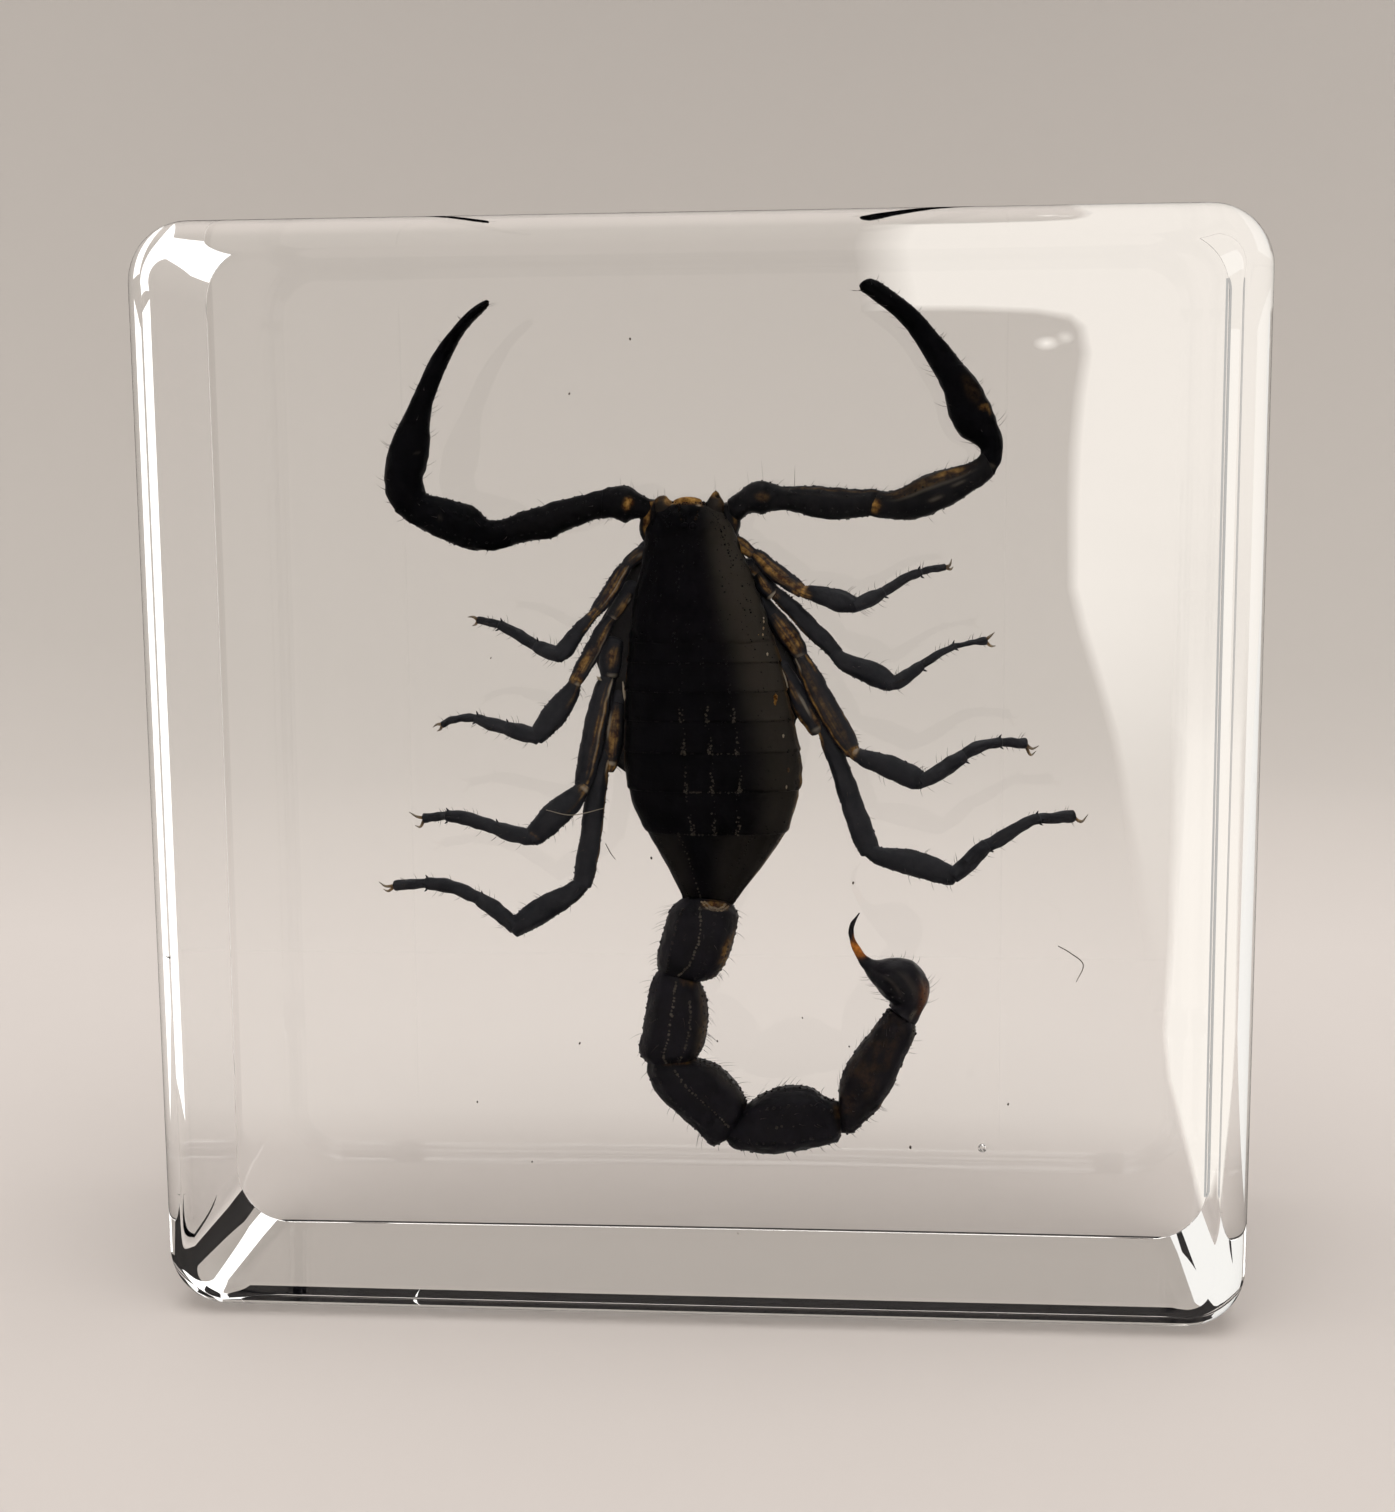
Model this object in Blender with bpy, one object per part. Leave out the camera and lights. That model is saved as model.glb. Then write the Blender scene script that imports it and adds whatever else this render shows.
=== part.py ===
"""Scorpion cast in a clear resin block.

The block is a square tile of clear resin that stands on its lower side. The scorpion
hangs at mid depth with its back towards the front face, head up. The resin is parted
in two halves at mid depth, and each half holds one side of the scorpion's pocket.

X is the width, +Y runs from the front face to the back face, and +Z is up. The origin
is the middle of the footprint. Every figure below is in millimetres, and the places
of the scorpion's joints are measured from the middle of the block.
"""

from math import cos, pi, sin

import bmesh
import bpy
from mathutils import Matrix, Vector

MM = 0.001

# The block.
BLOCK_WIDTH = 45.0
BLOCK_HEIGHT = 45.0
BLOCK_DEPTH = 18.0
CORNER_RADIUS = 2.5  # of the four corners of the square
FRONT_RIM_RADIUS = 1.5  # where the front face meets the sides
BACK_RIM_RADIUS = 0.25  # the cut and polished back face has only a broken edge
CORNER_STEPS = 4
RIM_STEPS = 3

# The cast parts into halves at mid depth, and leaves this much room about the scorpion.
PARTING_GAP = 0.3
POCKET_ROOM = 0.3

# The scorpion's figures below are drawn round the block's middle, and it hangs a little up and to the right.
SCORPION_SCALE = 1.025
SCORPION_PLACE = (0.09, 0.0, 0.30)

# The trunk, from its front edge to the root of the tail: height, sideways place, half width.
TRUNK = (
    (10.7, -0.45, 1.35),
    (10.0, -0.45, 1.75),
    (8.9, -0.45, 2.0),
    (7.3, -0.3, 2.45),
    (4.9, -0.05, 3.0),
    (2.5, 0.15, 3.4),
    (0.8, 0.3, 3.65),
    (-0.2, 0.4, 3.7),
    (-1.3, 0.4, 3.55),
    (-2.9, 0.5, 3.05),
    (-4.2, 0.5, 2.45),
    (-6.1, 0.2, 1.2),
)
TRUNK_DEPTH_RATIO = 0.5  # half depth over half width
CARAPACE_EDGES = (10.7, 10.0, 8.9, 7.3, 5.0)
PLATE_EDGES = (5.0, 4.2, 3.0, 1.8, 0.5, -1.1, -2.9, -6.1)  # of the seven back plates
PLATE_STEP = 0.12  # how far each plate's rear edge stands over the next one
TRUNK_SIDES = 14

# A limb segment is a row of stops, each its sideways place, height and half width.
CHELICERAE = {
    "left": ((-1.3, 9.8, 0.5), (-1.5, 10.8, 0.42)),
    "right": ((0.45, 9.8, 0.5), (0.65, 10.8, 0.42)),
}
PEDIPALPS = {
    "left": {
        "trochanter": ((-1.5, 10.3, 0.6), (-2.8, 10.65, 0.64), (-3.7, 10.6, 0.5)),
        "femur": ((-3.6, 10.6, 0.5), (-5.8, 10.05, 0.6), (-8.4, 9.35, 0.56)),
        "patella": ((-8.3, 9.35, 0.55), (-9.6, 9.7, 0.84), (-10.9, 10.15, 0.84), (-12.0, 10.7, 0.72)),
        "hand": ((-12.25, 11.0, 0.84), (-12.2, 12.2, 0.86), (-11.95, 13.4, 0.78), (-11.6, 14.5, 0.6)),
        "fingers": ((-11.6, 14.3, 0.6), (-11.2, 15.6, 0.43), (-10.5, 16.9, 0.34),
                    (-9.7, 17.8, 0.25), (-9.1, 18.4, 0.17), (-8.7, 18.75, 0.08)),
    },
    "right": {
        "trochanter": ((1.0, 10.4, 0.6), (2.3, 10.7, 0.66), (3.3, 10.8, 0.5)),
        "femur": ((3.2, 10.8, 0.5), (5.0, 10.6, 0.6), (7.3, 10.5, 0.5)),
        "patella": ((7.1, 10.5, 0.5), (8.2, 10.5, 0.6), (9.3, 10.9, 0.82),
                    (10.3, 11.3, 0.8), (11.4, 12.0, 0.55)),
        "hand": ((11.6, 11.9, 0.55), (11.55, 12.8, 0.64), (11.1, 13.8, 0.92),
                 (10.65, 14.8, 0.84), (10.1, 15.6, 0.66)),
        "fingers": ((10.2, 15.5, 0.66), (9.1, 17.0, 0.54), (8.1, 18.1, 0.48),
                    (7.2, 18.9, 0.43), (6.8, 19.2, 0.36)),
    },
}
PALP_SIDES = 2  # as a bevel resolution
LEG_SIDES = 1

# Walking legs. The joints are the hip in the trunk, the trochanter, the end of the femur,
# the knee, the end of the tibia and the tip. The last pair's tibiae bow upwards.
LEGS = {
    "left_1": {"stoutness": 0.72, "tibia_bow": 0.0, "joints": (
        (-1.0, 9.4), (-2.7, 8.5), (-4.5, 6.1), (-5.9, 4.4), (-8.2, 5.5), (-9.5, 5.8))},
    "left_2": {"stoutness": 0.88, "tibia_bow": 0.0, "joints": (
        (-1.2, 8.2), (-3.6, 6.4), (-5.35, 3.2), (-6.9, 1.1), (-9.5, 1.7), (-11.0, 1.4))},
    "left_3": {"stoutness": 1.0, "tibia_bow": 0.0, "joints": (
        (-1.4, 6.9), (-3.8, 4.6), (-5.05, -1.1), (-7.15, -3.3), (-10.5, -2.4), (-11.9, -2.6))},
    "left_4": {"stoutness": 1.0, "tibia_bow": 0.25, "joints": (
        (-1.6, 5.4), (-4.0, 2.2), (-5.1, -5.3), (-8.0, -7.0), (-11.5, -5.3), (-13.3, -5.5))},
    "right_1": {"stoutness": 0.78, "tibia_bow": 0.0, "joints": (
        (0.2, 9.3), (1.9, 8.55), (4.0, 7.05), (6.3, 6.45), (8.8, 7.65), (9.9, 7.9))},
    "right_2": {"stoutness": 0.85, "tibia_bow": 0.0, "joints": (
        (0.8, 8.2), (3.1, 6.8), (5.4, 4.5), (7.8, 3.2), (10.2, 4.7), (11.6, 4.9))},
    "right_3": {"stoutness": 0.97, "tibia_bow": 0.1, "joints": (
        (1.2, 6.6), (3.8, 4.6), (6.25, 0.4), (9.0, -0.75), (12.1, 0.7), (13.3, 0.7))},
    "right_4": {"stoutness": 1.0, "tibia_bow": 0.3, "joints": (
        (1.4, 5.4), (4.6, 1.7), (6.95, -3.9), (10.3, -4.7), (13.8, -2.4), (15.3, -2.4))},
}
# Each segment of a leg starts at one of its joints. Its half widths, on a leg of stoutness 1,
# are at each joint and half way between two joints. The first stops are the stout coxa.
LEG_SEGMENTS = (
    ("femur", 0, (0.9, 0.8, 0.46, 0.46, 0.34)),
    ("patella", 2, (0.36, 0.54, 0.38)),
    ("tibia", 3, (0.34, 0.36, 0.25, 0.22, 0.22)),
)
TIBIA_MIDDLE = 7  # its place in the row of joints and half-way stops
# The hips sit towards the belly, the knees rise towards the front face, the tips drop back.
LEG_JOINT_DEPTHS = (0.5, 0.3, -0.3, -0.8, 0.1, 0.7)

TAIL = {
    "tail_1": ((0.15, -5.8, 1.1), (-0.15, -7.1, 1.42), (-0.55, -8.3, 1.4), (-0.95, -9.3, 1.0)),
    "tail_2": ((-1.1, -9.3, 1.0), (-1.3, -10.8, 1.32), (-1.45, -12.1, 1.34), (-1.45, -13.0, 0.95)),
    "tail_3": ((-1.35, -12.8, 0.95), (-0.65, -13.95, 1.24), (0.3, -14.9, 1.26), (1.0, -15.4, 1.0)),
    "tail_4": ((1.1, -15.45, 0.9), (2.6, -15.5, 1.18), (3.9, -15.3, 1.28),
               (4.8, -15.2, 1.1), (5.7, -15.2, 0.85)),
    "tail_5": ((5.6, -15.2, 0.85), (6.4, -14.2, 1.12), (7.1, -13.0, 1.1),
               (7.8, -11.9, 0.85), (8.2, -11.0, 0.6)),
    "telson": ((8.3, -11.1, 0.5), (8.55, -10.2, 0.84), (8.35, -9.4, 0.98),
               (7.75, -8.95, 0.74), (7.1, -8.7, 0.42)),
    "sting": ((7.3, -8.8, 0.42), (6.75, -8.4, 0.28), (6.4, -7.8, 0.2),
              (6.25, -7.2, 0.14), (6.4, -6.5, 0.06)),
}
TAIL_DEPTH_RATIO = 0.92
TAIL_SIDES = 2

# How far a segment's rounded end runs past its last stop, and how it narrows there.
ROUND_END_REACH = 0.45
ROUND_END_WIDTH = 0.6

SCORPION_BLACK = (0.012, 0.011, 0.014, 1.0)
CLEAR_RESIN = (0.96, 0.95, 0.92, 1.0)
RESIN_IOR = 1.55


def clear_scene():
    for thing in list(bpy.data.objects):
        bpy.data.objects.remove(thing)


def make_collection(name):
    collection = bpy.data.collections.new(name)
    bpy.context.scene.collection.children.link(collection)
    return collection


def make_material(name, colour, roughness, transmission=0.0):
    material = bpy.data.materials.new(name)
    material.use_nodes = True
    shader = material.node_tree.nodes["Principled BSDF"]
    shader.inputs["Base Color"].default_value = colour
    shader.inputs["Roughness"].default_value = roughness
    shader.inputs["Metallic"].default_value = 0.0
    shader.inputs["Transmission Weight"].default_value = transmission
    shader.inputs["IOR"].default_value = RESIN_IOR
    return material


def from_middle(x, y, z):
    """A place measured from the middle of the block, in metres above the footprint."""
    return Vector((x, y, z + BLOCK_HEIGHT / 2)) * MM


def in_the_cast(x, y, z):
    """A place on the scorpion, grown to its full size and hung in its place in the block."""
    return from_middle(*(Vector((x, y, z)) * SCORPION_SCALE + Vector(SCORPION_PLACE)))


def hide_as_guide(thing):
    thing.hide_render = True
    thing.display_type = "WIRE"


def mesh_object(name, mesh, collection):
    thing = bpy.data.objects.new(name, mesh)
    collection.objects.link(thing)
    return thing


# The scorpion's own forms. Each is made twice: at its true size, and grown for the pocket.


def with_round_ends(stops):
    """Adds a narrower stop past each end, so that a segment ends rounded."""
    def beyond(end, inner):
        place, half_width = end
        direction = (place - inner[0]).normalized()
        return place + direction * half_width * ROUND_END_REACH, half_width * ROUND_END_WIDTH

    return [beyond(stops[0], stops[1])] + stops + [beyond(stops[-1], stops[-2])]


def limb_mesh(name, stops, grow, bevel_resolution, depth_ratio=1.0):
    """A tapering tube along its stops, each a place and a half width, as a closed mesh."""
    stops = with_round_ends([(place, half_width + grow) for place, half_width in stops])
    curve = bpy.data.curves.new(name, "CURVE")
    curve.dimensions = "3D"
    curve.bevel_depth = MM
    curve.bevel_resolution = bevel_resolution
    curve.use_fill_caps = True
    spline = curve.splines.new("POLY")
    spline.points.add(len(stops) - 1)
    for point, (place, half_width) in zip(spline.points, stops):
        point.co = (*in_the_cast(place.x, place.y / depth_ratio, place.z), 1.0)
        point.radius = half_width * SCORPION_SCALE
    guide = bpy.data.objects.new(name, curve)
    bpy.context.scene.collection.objects.link(guide)
    seen = guide.evaluated_get(bpy.context.evaluated_depsgraph_get())
    mesh = bpy.data.meshes.new_from_object(seen)
    bpy.data.objects.remove(guide)
    mesh.transform(Matrix.Diagonal((1.0, depth_ratio, 1.0, 1.0)))
    form = bmesh.new()
    form.from_mesh(mesh)
    bmesh.ops.remove_doubles(form, verts=form.verts, dist=0.01 * MM)
    bmesh.ops.recalc_face_normals(form, faces=form.faces)
    form.to_mesh(mesh)
    form.free()
    return mesh


def flat_stops(stops):
    """Stops that all lie at mid depth."""
    return [(Vector((x, 0.0, z)), half_width) for x, z, half_width in stops]


def leg_segments(leg):
    """Splits a leg at its joints into segments, with a stop at each joint and half way between."""
    joints = [Vector((x, depth, z)) for (x, z), depth in zip(leg["joints"], LEG_JOINT_DEPTHS)]
    places = [joints[0]]
    for joint in joints[1:]:
        places += [(places[-1] + joint) / 2, joint]
    places[TIBIA_MIDDLE].z += leg["tibia_bow"]
    stoutness = leg["stoutness"]
    for segment, first_joint, half_widths in LEG_SEGMENTS:
        own_places = places[2 * first_joint:]
        yield segment, [(place, width * stoutness) for place, width in zip(own_places, half_widths)]


def limb_meshes(grow):
    """Every limb segment of the scorpion, grown by the room that the pocket needs."""
    for side, stops in CHELICERAE.items():
        yield limb_mesh(f"{side}_chelicera", flat_stops(stops), grow, PALP_SIDES)
    for side, segments in PEDIPALPS.items():
        for segment, stops in segments.items():
            yield limb_mesh(f"{side}_palp_{segment}", flat_stops(stops), grow, PALP_SIDES)
    for leg_name, leg in LEGS.items():
        for segment, stops in leg_segments(leg):
            yield limb_mesh(f"{leg_name}_{segment}", stops, grow, LEG_SIDES)
    for segment, stops in TAIL.items():
        yield limb_mesh(segment, flat_stops(stops), grow, TAIL_SIDES, TAIL_DEPTH_RATIO)


def trunk_at(height):
    """The trunk's sideways place and half width at a height, between its stated stops."""
    if height >= TRUNK[0][0]:
        return TRUNK[0][1:]
    for (top, top_x, top_width), (low, low_x, low_width) in zip(TRUNK, TRUNK[1:]):
        if height >= low:
            share = (top - height) / (top - low)
            return top_x + share * (low_x - top_x), top_width + share * (low_width - top_width)
    return TRUNK[-1][1:]


def trunk_rings(grow):
    """Heights and width changes of the trunk's rings. The back plates step, but not in the pocket."""
    if grow:
        rings = [(height, 0.0) for height, x, half_width in TRUNK]
        rings[0] = (TRUNK[0][0] + grow, 0.0)
        rings[-1] = (TRUNK[-1][0] - grow, 0.0)
        return rings
    rings = [(height, 0.0) for height in CARAPACE_EDGES]
    for front, rear in zip(PLATE_EDGES, PLATE_EDGES[1:]):
        rings.append((front - PLATE_STEP, -PLATE_STEP))
        rings.append((rear, 0.0))
    return rings


def trunk_mesh(name, grow):
    """The trunk as a loft of flattened rings from the front edge to the root of the tail."""
    form = bmesh.new()
    rows = []
    for height, change in trunk_rings(grow):
        x, half_width = trunk_at(height)
        half_width += change
        half_depth = half_width * TRUNK_DEPTH_RATIO + grow
        half_width += grow
        angles = [2 * pi * step / TRUNK_SIDES for step in range(TRUNK_SIDES)]
        rows.append([
            form.verts.new(in_the_cast(x + half_width * cos(a), half_depth * sin(a), height))
            for a in angles
        ])
    for row, next_row in zip(rows, rows[1:]):
        for step in range(TRUNK_SIDES):
            after = (step + 1) % TRUNK_SIDES
            form.faces.new((row[step], row[after], next_row[after], next_row[step]))
    form.faces.new(rows[0])
    form.faces.new(rows[-1])
    bmesh.ops.recalc_face_normals(form, faces=form.faces)
    mesh = bpy.data.meshes.new(name)
    form.to_mesh(mesh)
    form.free()
    return mesh


def scorpion_forms(name, guides, grow):
    """The trunk's mesh, and a hidden collection that holds every limb segment."""
    limbs = bpy.data.collections.new(f"{name}_limbs")
    guides.children.link(limbs)
    for mesh in limb_meshes(grow):
        hide_as_guide(mesh_object(f"{name}_{mesh.name}", mesh, limbs))
    return trunk_mesh(name, grow), limbs


def add_boolean(thing, operation, forms):
    modifier = thing.modifiers.new(forms.name, "BOOLEAN")
    modifier.operation = operation
    modifier.operand_type = "COLLECTION"
    modifier.collection = forms
    modifier.solver = "EXACT"


def make_scorpion(part, guides):
    trunk, limbs = scorpion_forms("scorpion", guides, 0.0)
    scorpion = mesh_object("scorpion", trunk, part)
    scorpion.data.materials.append(make_material("scorpion", SCORPION_BLACK, 0.35))
    add_boolean(scorpion, "UNION", limbs)


def make_pocket(guides):
    """The forms that leave the scorpion's room in the resin: the same, grown all round."""
    trunk, forms = scorpion_forms("pocket", guides, POCKET_ROOM)
    hide_as_guide(mesh_object("pocket_trunk", trunk, forms))
    return forms


def half_block_mesh(name, outer_face, parting_face, rim_radius):
    """One half of the block: a rounded square plate whose outer rim is rounded too."""
    depth = abs(outer_face - parting_face)
    form = bmesh.new()
    bmesh.ops.create_cube(form, size=1.0)
    bmesh.ops.scale(form, vec=Vector((BLOCK_WIDTH, depth, BLOCK_HEIGHT)) * MM, verts=form.verts)
    middle = from_middle(0.0, (outer_face + parting_face) / 2, 0.0)
    bmesh.ops.translate(form, vec=middle, verts=form.verts)
    corners = [edge for edge in form.edges if runs_along_y(edge)]
    bmesh.ops.bevel(form, geom=corners, offset=CORNER_RADIUS * MM, segments=CORNER_STEPS,
                    profile=0.5, affect="EDGES")
    rim = [edge for edge in form.edges if lies_at_depth(edge, outer_face)]
    bmesh.ops.bevel(form, geom=rim, offset=rim_radius * MM, segments=RIM_STEPS,
                    profile=0.5, affect="EDGES")
    mesh = bpy.data.meshes.new(name)
    form.to_mesh(mesh)
    form.free()
    return mesh


def runs_along_y(edge):
    start, end = (vert.co for vert in edge.verts)
    return abs(start.y - end.y) > MM and (start - end).length - abs(start.y - end.y) < 0.01 * MM


def lies_at_depth(edge, depth):
    return all(abs(vert.co.y - depth * MM) < 0.01 * MM for vert in edge.verts)


def make_resin(part, pocket):
    resin = make_material("resin", CLEAR_RESIN, 0.02, transmission=1.0)
    half_gap = PARTING_GAP / 2
    half_depth = BLOCK_DEPTH / 2
    for name, outer_face, parting_face, rim_radius in (
        ("resin_front", -half_depth, -half_gap, FRONT_RIM_RADIUS),
        ("resin_back", half_depth, half_gap, BACK_RIM_RADIUS),
    ):
        half = mesh_object(name, half_block_mesh(name, outer_face, parting_face, rim_radius), part)
        half.data.materials.append(resin)
        add_boolean(half, "DIFFERENCE", pocket)


def main():
    clear_scene()
    part = make_collection("scorpion_in_resin_block")
    guides = make_collection("cutters")
    make_scorpion(part, guides)
    make_resin(part, make_pocket(guides))


main()
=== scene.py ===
import random
from math import cos, exp, pi, radians, sin

import bmesh
import bpy
from mathutils import Matrix, Vector, noise


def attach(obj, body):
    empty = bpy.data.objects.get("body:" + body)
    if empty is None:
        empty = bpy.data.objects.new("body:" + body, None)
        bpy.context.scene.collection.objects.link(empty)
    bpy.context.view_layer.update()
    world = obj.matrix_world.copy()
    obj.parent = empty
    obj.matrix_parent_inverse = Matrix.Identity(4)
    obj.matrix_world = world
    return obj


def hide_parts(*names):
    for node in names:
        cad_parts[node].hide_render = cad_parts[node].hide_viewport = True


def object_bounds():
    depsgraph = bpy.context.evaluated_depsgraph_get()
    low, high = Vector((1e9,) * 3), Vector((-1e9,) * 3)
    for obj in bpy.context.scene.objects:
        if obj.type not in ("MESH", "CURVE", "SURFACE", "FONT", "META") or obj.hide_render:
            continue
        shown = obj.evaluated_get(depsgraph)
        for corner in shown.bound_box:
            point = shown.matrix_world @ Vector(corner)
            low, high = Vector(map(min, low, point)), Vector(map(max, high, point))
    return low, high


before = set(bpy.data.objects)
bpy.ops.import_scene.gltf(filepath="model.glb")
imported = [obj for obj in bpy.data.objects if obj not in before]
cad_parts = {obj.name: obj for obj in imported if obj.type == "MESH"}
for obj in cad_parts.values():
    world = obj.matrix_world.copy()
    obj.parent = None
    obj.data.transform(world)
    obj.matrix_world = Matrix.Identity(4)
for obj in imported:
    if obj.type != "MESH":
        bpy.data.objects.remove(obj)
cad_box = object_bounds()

# The clear block: one square cast of polyester resin, poured in two layers round the scorpion.
# All its faces are polished flat, and its corners and front rim are rounded off.
MM = 0.001
BLOCK_LOW, BLOCK_HIGH = cad_box
BLOCK_MIDDLE = (BLOCK_LOW + BLOCK_HIGH) / 2
HALF_SIDE = (BLOCK_HIGH.x - BLOCK_LOW.x) / 2 / MM
HALF_DEPTH = (BLOCK_HIGH.y - BLOCK_LOW.y) / 2 / MM
CORNER_RADIUS = 2.5
FRONT_RIM = 1.5
BACK_RIM = 0.02
BACK_SAG = (0.9, 0.035)
CORNER_STEPS = 14
RIM_STEPS = 10
RESIN_IOR = 1.55
RESIN_TINT = (0.80, 0.77, 0.70, 1.0)
RESIN_TINT_PER_METRE = 4.0
POLISH_WAVES_PER_METRE = 90.0
POLISH_WAVE_HEIGHT = 0.0005
POLISH_WAVE_STRENGTH = 0.02
BACK_RIM_ARC = pi / 2 * 0.95


def at(x, y, z):
    """A place in the frame, from millimetres to the right of, behind and above the block's middle."""
    return BLOCK_MIDDLE + Vector((x, y, z)) * MM


def finish_piece(thing):
    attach(thing, "root")
    return thing


def mesh_thing(name, form, material):
    mesh = bpy.data.meshes.new(name)
    form.to_mesh(mesh)
    form.free()
    mesh.materials.append(material)
    thing = bpy.data.objects.new(name, mesh)
    bpy.context.scene.collection.objects.link(thing)
    return thing


def node_material(name):
    """A new material, with what joins its sockets, its shader and a function that adds a node to it."""
    material = bpy.data.materials.new(name)
    material.use_nodes = True
    tree = material.node_tree
    shader = tree.nodes["Principled BSDF"]

    def add(kind, output, sockets=(), **settings):
        """Adds a node, joins or sets the named sockets, and gives back one of its outputs."""
        node = tree.nodes.new(kind)
        for key, value in settings.items():
            setattr(node, key, value)
        for key, value in dict(sockets).items():
            if isinstance(value, bpy.types.NodeSocket):
                tree.links.new(value, node.inputs[key])
            else:
                node.inputs[key].default_value = value
        return node.outputs[output]

    return material, tree.links.new, shader, add


def output_of(material):
    return next(node for node in material.node_tree.nodes if node.type == "OUTPUT_MATERIAL")


def bridge(form, rings, is_closed=True):
    """Faces between each row of corners and the next, and round to the first corner in closed rows."""
    for ring, next_ring in zip(rings, rings[1:]):
        for step in range(len(ring) if is_closed else len(ring) - 1):
            after = (step + 1) % len(ring)
            form.faces.new((ring[step], ring[after], next_ring[after], next_ring[step]))


def smooth_outward(form):
    bmesh.ops.recalc_face_normals(form, faces=form.faces)
    for face in form.faces:
        face.smooth = True


def polished_resin():
    material, join, shader, add = node_material("polished_clear_resin")
    shader.inputs["Base Color"].default_value = (1.0, 1.0, 1.0, 1.0)
    shader.inputs["Roughness"].default_value = 0.0
    shader.inputs["IOR"].default_value = RESIN_IOR
    shader.inputs["Transmission Weight"].default_value = 1.0
    tint = {"Color": RESIN_TINT, "Density": RESIN_TINT_PER_METRE}
    join(add("ShaderNodeVolumeAbsorption", "Volume", tint), output_of(material).inputs["Volume"])
    place = add("ShaderNodeTexCoord", "Object")
    waves = {"Vector": place, "Scale": POLISH_WAVES_PER_METRE, "Detail": 1.0}
    height = add("ShaderNodeTexNoise", "Fac", waves)
    bump = {"Height": height, "Strength": POLISH_WAVE_STRENGTH, "Distance": POLISH_WAVE_HEIGHT}
    join(add("ShaderNodeBump", "Normal", bump), shader.inputs["Normal"])
    return material


def block_outline():
    """The rounded square from the front: each stop's way out from its corner's centre, and that centre."""
    inner = HALF_SIDE - CORNER_RADIUS
    stops = []
    for corner, (side, height) in enumerate(((1, 1), (-1, 1), (-1, -1), (1, -1))):
        for step in range(CORNER_STEPS + 1):
            angle = pi / 2 * (corner + step / CORNER_STEPS)
            stops.append((cos(angle), sin(angle), side * inner, height * inner))
    return stops


def block_profile():
    """From the front face round both rims to the back face: setback, depth, and the surface's lean."""
    width, sag = BACK_SAG
    stops = []
    for step in range(RIM_STEPS + 1):
        angle = pi / 2 * step / RIM_STEPS
        setback, depth = FRONT_RIM * (1 - sin(angle)), -HALF_DEPTH + FRONT_RIM * (1 - cos(angle))
        stops.append((setback, depth, sin(angle), -cos(angle)))
    for step in range(RIM_STEPS + 1):
        angle = BACK_RIM_ARC * step / RIM_STEPS
        setback, depth = BACK_RIM * (1 - cos(angle)), HALF_DEPTH - sag - BACK_RIM * (1 - sin(angle))
        stops.append((setback, depth, cos(angle), sin(angle)))
    for step in range(1, RIM_STEPS + 1):
        share = step / RIM_STEPS
        slope = 2 * sag / width * (1 - share)
        stops.append((BACK_RIM + width * share, HALF_DEPTH - sag * (1 - share) ** 2, slope, 1.0))
    return [(setback, depth, *Vector(lean).normalized()) for setback, depth, *lean in stops]


def block_mesh():
    form = bmesh.new()
    rings = []
    normals = []
    for setback, depth, outward, along in block_profile():
        ring = []
        for way_x, way_z, centre_x, centre_z in block_outline():
            reach = CORNER_RADIUS - setback
            ring.append(form.verts.new(at(centre_x + way_x * reach, depth, centre_z + way_z * reach)))
            normals.append(Vector((way_x * outward, along, way_z * outward)))
        rings.append(ring)
    bridge(form, rings)
    form.faces.new(rings[0])
    form.faces.new(rings[-1])
    smooth_outward(form)
    return form, normals


block_form, block_normals = block_mesh()
clear_block = mesh_thing("clear_block", block_form, polished_resin())
clear_block.data.normals_split_custom_set_from_vertices(block_normals)
finish_piece(clear_block)
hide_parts("resin_front", "resin_back")

# The carapace: the single hard shield over the head part, dried nearly black, with the two main eyes on a
# low mound, three small eyes at each front corner, granular keels, and a front margin browned like horn.
SHELL_DARK = (0.0014, 0.0014, 0.0026, 1.0)
SHELL_WORN = (0.0050, 0.0046, 0.0068, 1.0)
AMBER_DEEP = (0.085, 0.030, 0.006, 1.0)
AMBER_CLEAR = (0.68, 0.38, 0.10, 1.0)
# The pale colour of the shell's own pale parts and of painted highlights, glints and sheen.
PALE_AND_GLINT_COLOUR = (0.50, 0.44, 0.34, 1.0)
CARAPACE_EDGES = (
    (-1.15, 10.62, 0.05, 10.62), (-1.6, 10.46, 0.5, 10.46), (-2.02, 10.1, 1.0, 10.1), (-2.3, 9.6, 1.3, 9.6),
    (-2.4, 8.7, 1.6, 8.7), (-2.7, 7.4, 2.15, 7.4), (-2.95, 6.1, 2.62, 6.1), (-3.05, 4.95, 2.95, 4.95),
)
TRUNK_FLATNESS = 0.5
TRUNK_SIDES = 96
MAIN_EYE_RADIUS = 0.2
MAIN_EYE_SHARE = 0.42
SIDE_EYE_RADIUS = 0.075
# A painted sheen on the trunk's right half, as if lit from the right, weaker on each plate further back.
PAINTED_TRUNK_SHEEN = 0.085
SPECK_SINK = 0.4
BLOTCHES_PER_METRE = 900.0
VEINS_PER_METRE = 2600.0
PITS_PER_METRE = 7000.0
PIT_DEPTH = 0.00003
SCORPION_SCALE = 1.025
SCORPION_PLACE = (0.09, 0.0, 0.30)
grain = random.Random(11)


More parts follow.
